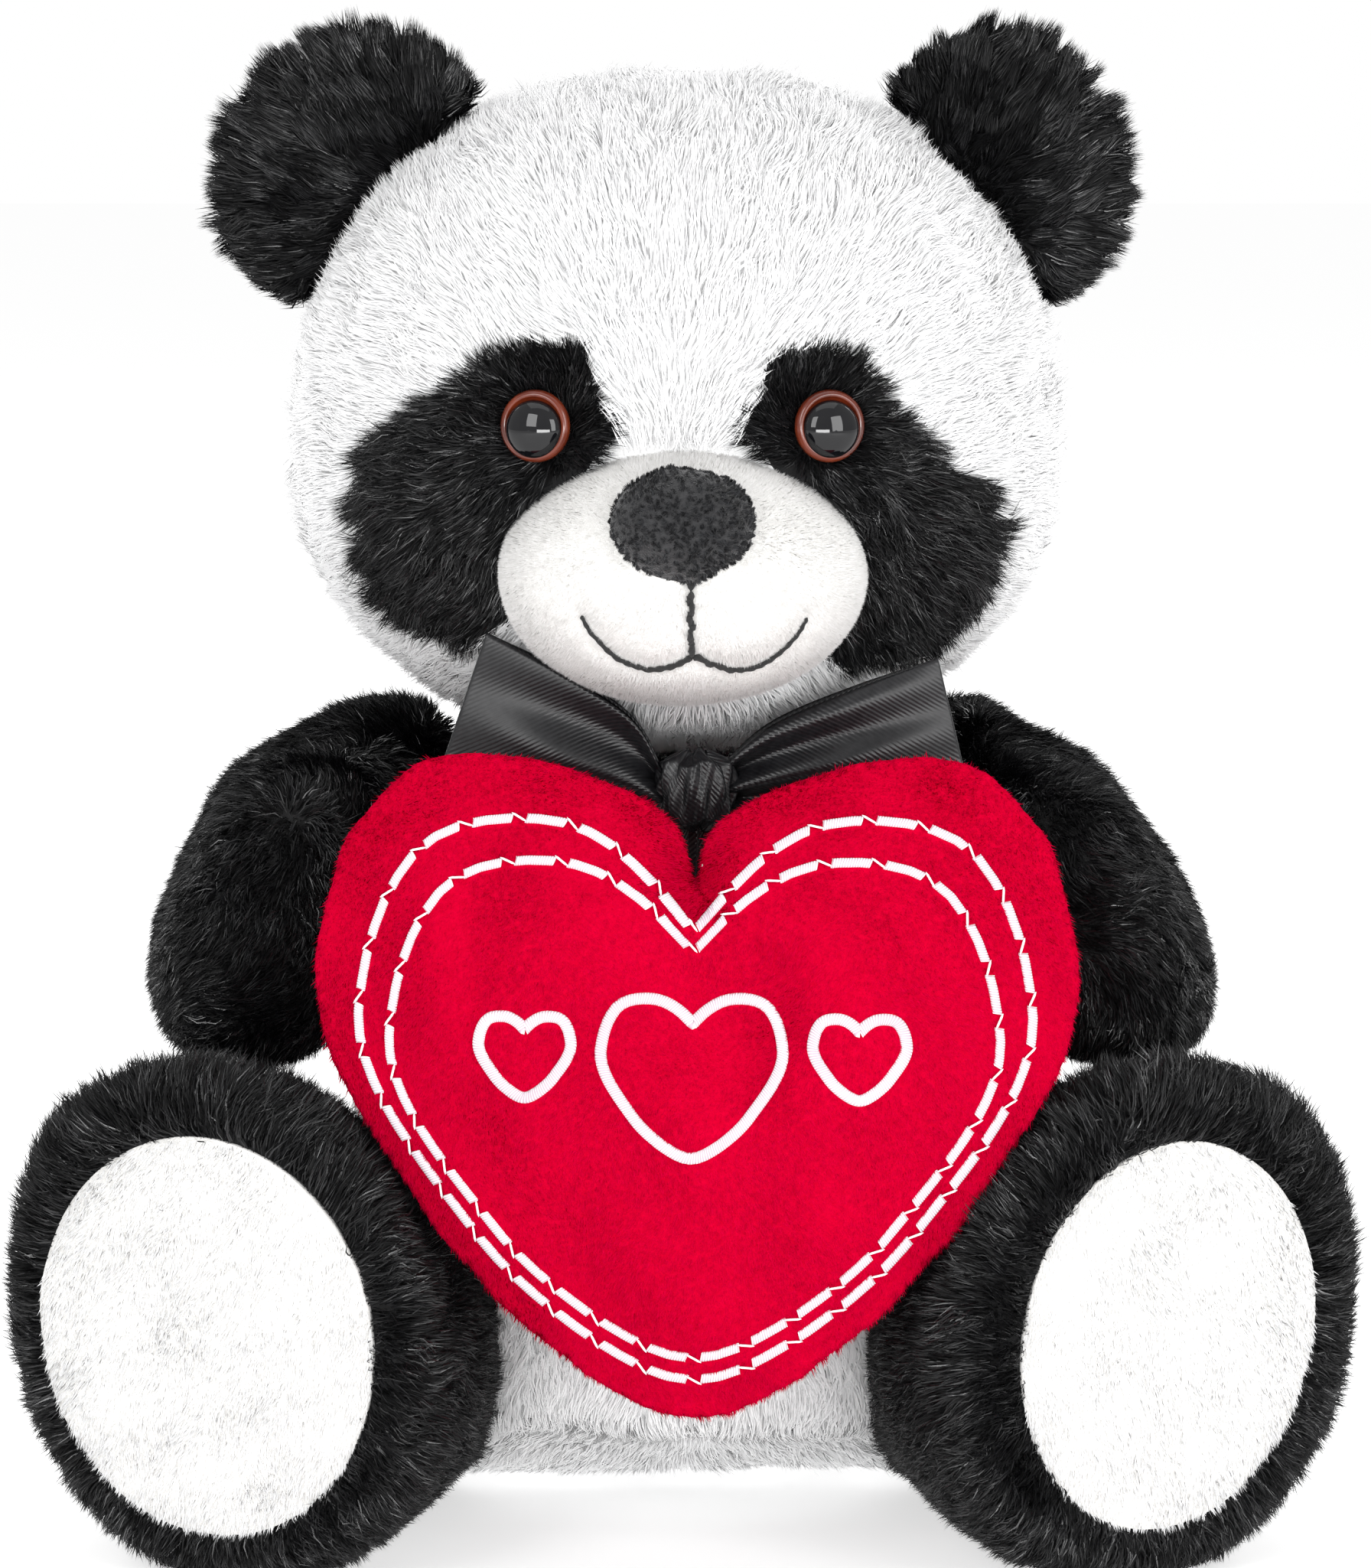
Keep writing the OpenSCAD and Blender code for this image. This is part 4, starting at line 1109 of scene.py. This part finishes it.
def heart_flat():
    """Two flat hearts sewn along their edge, a little apart, ready to be filled."""
    step = 2.6
    edge = heart_outline(step)
    rng = np.random.default_rng(12)
    xs, zs = np.arange(-66, 66, step), np.arange(-82, 36, step * 0.87)
    inner = np.array([(x + (step / 2 if j % 2 else 0), z) for j, z in enumerate(zs) for x in xs])
    inner += rng.uniform(-0.2, 0.2, inner.shape)
    n = len(edge)
    a, b = edge, np.roll(edge, -1, 0)
    keep = np.zeros(len(inner), bool)
    for p, q in zip(a, b):
        cross = ((p[1] > inner[:, 1]) != (q[1] > inner[:, 1]))
        with np.errstate(divide="ignore", invalid="ignore"):
            x = (q[0] - p[0]) * (inner[:, 1] - p[1]) / (q[1] - p[1]) + p[0]
        keep ^= cross & (inner[:, 0] < x)
    far = np.array([np.linalg.norm(edge - p, axis=1).min() > step * 0.7 for p in inner])
    inner = inner[keep & far]
    coords = [Vector(p) for p in np.vstack([edge, inner])]
    links = [(i, (i + 1) % n) for i in range(n)]
    out, _, faces, _, _, _ = geometry.delaunay_2d_cdt(coords, links, [list(range(n))], 1, 1e-4)
    flat = np.array([p[:] for p in out])
    tris = np.array([f for f in faces if len(f) == 3])
    d = np.array([np.linalg.norm(edge - p, axis=1).min() for p in flat])
    rim = d < 1e-3
    lift = 4.0 * np.minimum(1, d / 14) ** 0.6
    front = np.column_stack([flat[:, 0], -lift, flat[:, 1]])
    back = np.column_stack([flat[:, 0], lift, flat[:, 1]])
    other = np.where(rim, np.arange(len(flat)), -1)
    extra = np.flatnonzero(~rim)
    other[extra] = len(flat) + np.arange(len(extra))
    pts = np.vstack([front, back[extra]])
    area = np.cross(flat[tris[:, 1]] - flat[tris[:, 0]], flat[tris[:, 2]] - flat[tris[:, 0]])
    tris = np.where((area > 0)[:, None], tris, tris[:, ::-1])
    both = np.vstack([tris, other[tris[:, ::-1]]])
    return pts, both, rim


def fill_heart():
    """Fills the sewn heart by cloth pressure, then fits it to the cushion's size."""
    pts, tris, rim = heart_flat()
    mesh = bpy.data.meshes.new("scratch_heart")
    mesh.from_pydata([tuple(p * 0.001) for p in pts], [], [tuple(int(i) for i in t) for t in tris])
    ob = bpy.data.objects.new("scratch_heart", mesh)
    bpy.context.collection.objects.link(ob)
    mod = ob.modifiers.new("cloth", "CLOTH")
    s = mod.settings
    s.quality = 8
    s.mass = 0.3
    s.tension_stiffness = s.compression_stiffness = 30
    s.shear_stiffness = 10
    s.bending_stiffness = 0.3
    s.use_pressure = True
    s.uniform_pressure_force = 14.0
    s.effector_weights.gravity = 0
    scene = bpy.context.scene
    scene.frame_start, scene.frame_end = 1, 30
    mod.point_cache.frame_start, mod.point_cache.frame_end = 1, 30
    for f in range(1, 27):
        scene.frame_set(f)
    graph = bpy.context.evaluated_depsgraph_get()
    result = ob.evaluated_get(graph).to_mesh()
    co = np.empty(len(result.vertices) * 3, np.float32)
    result.vertices.foreach_get("co", co)
    co = co.reshape(-1, 3).astype(float) * 1000
    bpy.data.objects.remove(ob)
    scene.frame_set(1)
    want_w, want_top, want_low = 2 * HEART_W, HEART_RISE, -HEART_DROP
    size = co.max(0) - co.min(0)
    co[:, 0] = (co[:, 0] - (co[:, 0].max() + co[:, 0].min()) / 2) * want_w / size[0]
    co[:, 2] = want_low + (co[:, 2] - co[:, 2].min()) * (want_top - want_low) / size[2]
    co[:, 1] *= 2 * HEART_T / size[1]
    # filling draws the sides in unevenly: each level is let out to the outline's width
    edge = heart_outline(1.0)
    levels = np.linspace(want_low + 3, want_top - 2, 50)
    now, goal = [np.array([np.abs(p[np.abs(p[:, -1] - z) < 2.0, 0]).max() for z in levels])
                 for p in (co, edge)]
    co[:, 0] *= np.interp(co[:, 2], levels, np.clip(goal / now, 0.85, 1.3))
    # and the notch, drawn down by the filling, goes back up to its place
    top = np.abs(co[:len(rim), 0]) < 4
    low = co[:len(rim)][rim & top & (co[:len(rim), 2] > 0)]
    notch = low[low[:, 2].argmin()]
    lift = HEART_CURVE[0][1] * HEART_RISE - NOTCH_SINK - notch[2]
    off = (co[:, [0, 2]] - notch[[0, 2]]) / np.array([13.0, 22.0])
    co[:, 2] += lift * np.exp(-(off ** 2).sum(1))
    # the dents that the filling leaves below the notch are eased out
    seam = np.zeros(len(co), bool)
    seam[:len(rim)] = rim
    return np.where(seam[:, None], co, smoothed(co, tris, 6)), tris


def place_heart(p):
    return p @ HEART_TURN.T + HEART_C


def subdivided(pts, tris):
    mesh = bpy.data.meshes.new("scratch")
    mesh.from_pydata([tuple(p * 0.001) for p in pts], [], [tuple(int(i) for i in t) for t in tris])
    ob = bpy.data.objects.new("scratch", mesh)
    bpy.context.collection.objects.link(ob)
    mod = ob.modifiers.new("smooth", "SUBSURF")
    mod.levels = mod.render_levels = 1
    graph = bpy.context.evaluated_depsgraph_get()
    done = bpy.data.meshes.new_from_object(ob.evaluated_get(graph))
    co, faces = arrays(done)
    co = co + SHIFT
    bpy.data.objects.remove(ob)
    return co, faces


def satin_run(tree, line, width, pitch=0.4, height=0.6):
    """Satin stitch along a line of (x, z): thread after thread laid across it, as one raised strip."""
    line = np.asarray(line, float)
    run = np.concatenate([[0], np.cumsum(np.linalg.norm(np.diff(line, axis=0), axis=1))])
    count = max(8, int(run[-1] / pitch) * 2)
    at = np.linspace(0, run[-1], count)
    x, z = np.interp(at, run, line[:, 0]), np.interp(at, run, line[:, 1])
    tangent = unit(np.gradient(np.column_stack([x, z]), axis=0))
    cross = np.column_stack([-tangent[:, 1], tangent[:, 0]])
    profile = np.array([-1, -0.85, -0.45, 0, 0.45, 0.85, 1.0])
    lift = np.array([-0.5, 0.5, 0.92, 1.0, 0.92, 0.5, -0.5])
    rows = []
    for j, w in enumerate(profile):
        skew = 0.25 * w
        px = x + cross[:, 0] * w * width / 2 + tangent[:, 0] * skew
        pz = z + cross[:, 1] * w * width / 2 + tangent[:, 1] * skew
        raised = on_surface(tree, px, pz, 0.0)
        normal_lift = on_surface(tree, px, pz, 1.0) - raised
        ridge = np.where(np.arange(count) % 2 == 0, 1.0, 0.5)
        ends = np.ones(count)
        ends[0] = ends[-1] = -0.4
        rows.append(raised + normal_lift * (height * lift[j] * ridge * ends + 0.25)[:, None])
    grid = np.stack(rows, 1)
    idx = np.arange(count * 7).reshape(count, 7)
    q = np.stack([idx[:-1, :-1], idx[1:, :-1], idx[1:, 1:], idx[:-1, 1:]], -1).reshape(-1, 4)
    # every other row of quads takes the second thread colour, painted shade between the laid threads
    shade = np.repeat(np.arange(count - 1) % 2, 6)
    return grid.reshape(-1, 3), q, shade


def stitch_paths():
    """The dashes of both rows and the thin threads between them, in the heart's own x and z."""
    dashes, jogs = [], []
    for wide, tall, lower, dip in ((0.867, 0.81, 6.6, 3.0), (0.785, 0.71, 10.4, 1.0)):
        edge = heart_outline(1.0)
        edge = np.column_stack([edge[:, 0] * wide, edge[:, 1] * np.where(edge[:, 1] < 0, tall, wide) - lower])
        edge[:, 1] -= dip * np.exp(-(edge[:, 0] / 11) ** 2) * (edge[:, 1] > 0)
        loop = np.vstack([edge, edge[:1]])
        run = np.concatenate([[0], np.cumsum(np.linalg.norm(np.diff(loop, axis=0), axis=1))])
        pitch = run[-1] / round(run[-1] / 8.7)
        at = lambda s: np.column_stack([np.interp(s, run, loop[:, 0]), np.interp(s, run, loop[:, 1])])
        start = np.arange(0, run[-1] - 1e-6, pitch) + 0.9
        for s in start:
            dashes.append(at(np.linspace(s, s + pitch - 2.2, 12)))
        for s in start:
            a = at(np.array([s + pitch - 2.3, s + pitch + 0.1]) % run[-1])
            d = unit(a[1] - a[0])
            side = np.array([-d[1], d[0]])
            jogs.append(np.vstack([a[0] + side * 0.7, a[1] - side * 0.7]))
    return dashes, jogs


def build_heart():
    co, tris = fill_heart()
    co, tris = subdivided(co, tris)
    world = place_heart(co)
    front = tris[co[tris].mean(1)[:, 1] < 0]
    tree = BVHTree.FromPolygons([Vector(p) for p in co], [tuple(int(i) for i in t) for t in front])
    skin = make("heart_skin", world, tris, [RED_CLOTH], "heart", "red_plush",
                ("heart_front_panel", "heart_back_panel"))
    filling = make("heart_filling", place_heart(co * np.array([0.965, 0.9, 0.965])), tris, [FIBRE], "heart",
                   "fibre_filling", ("heart_stuffing",))
    dashes, jogs = stitch_paths()
    base_outline = heart_outline(1.0)
    motif = []
    for size, cx, cz in ((9, 0, -13), (5, 27, -12), (5, -27, -12)):
        loop = base_outline * (size - 0.8) / HEART_RISE + np.array([cx, cz])
        motif.append(np.vstack([loop, loop[:2]]))
    lines = [("heart_border_stitches", dashes, 1.45, "heart_border_stitching"),
             ("heart_motif_stitches", motif, 1.9, "heart_motif_stitching")]
    for name, paths, width, node in lines:
        pts, faces, shade, n = [], [], [], 0
        for path in paths:
            p, q, s = satin_run(tree, path, width)
            pts.append(p)
            faces.append(q + n)
            shade.append(s)
            n += len(p)
        if node == "heart_border_stitching":
            for jog in jogs:
                mid = jog[0] + (jog[1] - jog[0]) * np.linspace(0, 1, 6)[:, None]
                p, q = tube(on_surface(tree, mid[:, 0], mid[:, 1], 0.7), 0.2, 6)
                pts.append(p)
                faces.append(q + n)
                shade.append(np.zeros(len(q), int))
                n += len(p)
        # the second material is the painted shade between the threads
        make(name, place_heart(np.vstack(pts)), np.vstack(faces), [THREAD_A, THREAD_SHADE], "heart",
             "white_thread", (node,), which=np.concatenate(shade))
    line_points = np.vstack(dashes + motif)
    spots = kdtree.KDTree(len(line_points))
    for i, p in enumerate(line_points):
        spots.insert((p[0], p[1], 0), i)
    spots.balance()

    def own(p):
        return (p - HEART_C) @ HEART_TURN

    def front_side(p):
        q = own(p)
        d = np.fromiter((spots.find((a, b, 0))[2] for a, b in q[:, [0, 2]]), float, len(q))
        return (q[:, 1] <= 0) & (d > 0.8)

    lie = lambda p: np.array([0.15, 0, -1.0]) + 0.35 * wobble(p, 30.0, 6)
    fur("heart_front_pile", (world, tris), RED_FUR, "heart", "red_plush", 16.0, 1.1, lie, 121, front_side,
        stand=0.4, clump=1.0, pull=0.2, width=0.24, segments=1, soft=0.92)
    fur("heart_back_pile", (world, tris), RED_FUR, "heart", "red_plush", 6.0, 1.7, lie, 122,
        lambda p: own(p)[:, 1] > 0, stand=0.5, clump=1.4, pull=0.35, width=0.3, segments=1, soft=0.9)


def build_label():
    rows, cols = 14, 12
    t, w = np.linspace(0, 1, rows), np.linspace(-1, 1, cols)
    grid = np.zeros((rows, cols, 3))
    grid[..., 0] = (0.25 + 1.8 * np.sin(t * 1.4) ** 2)[:, None] + 56.6
    grid[..., 1] = 7 * w[None]
    grid[..., 2] = (9 - 18 * t)[:, None]
    grid = grid @ rot_z(52).T + np.array([0, -5, 34.0])
    pts, faces, uv = slab(grid, 0.3)
    ob = make("care_label_tape", pts, faces, [LABEL], "torso", "label_tape", ("care_label",), uv=uv)


def finish_inner_nodes():
    for node, mat in (("pellet_bag", FIBRE), ("eye_washer_left", WASHER), ("eye_washer_right", WASHER)):
        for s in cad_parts[node].material_slots:
            s.material = mat


add_camera()
add_studio()
build_head()
build_mouth(build_muzzle())
build_nose()
build_eyes()
build_ears()
build_torso()
build_bow()
build_arms()
build_legs()
build_heart()
build_label()
finish_inner_nodes()
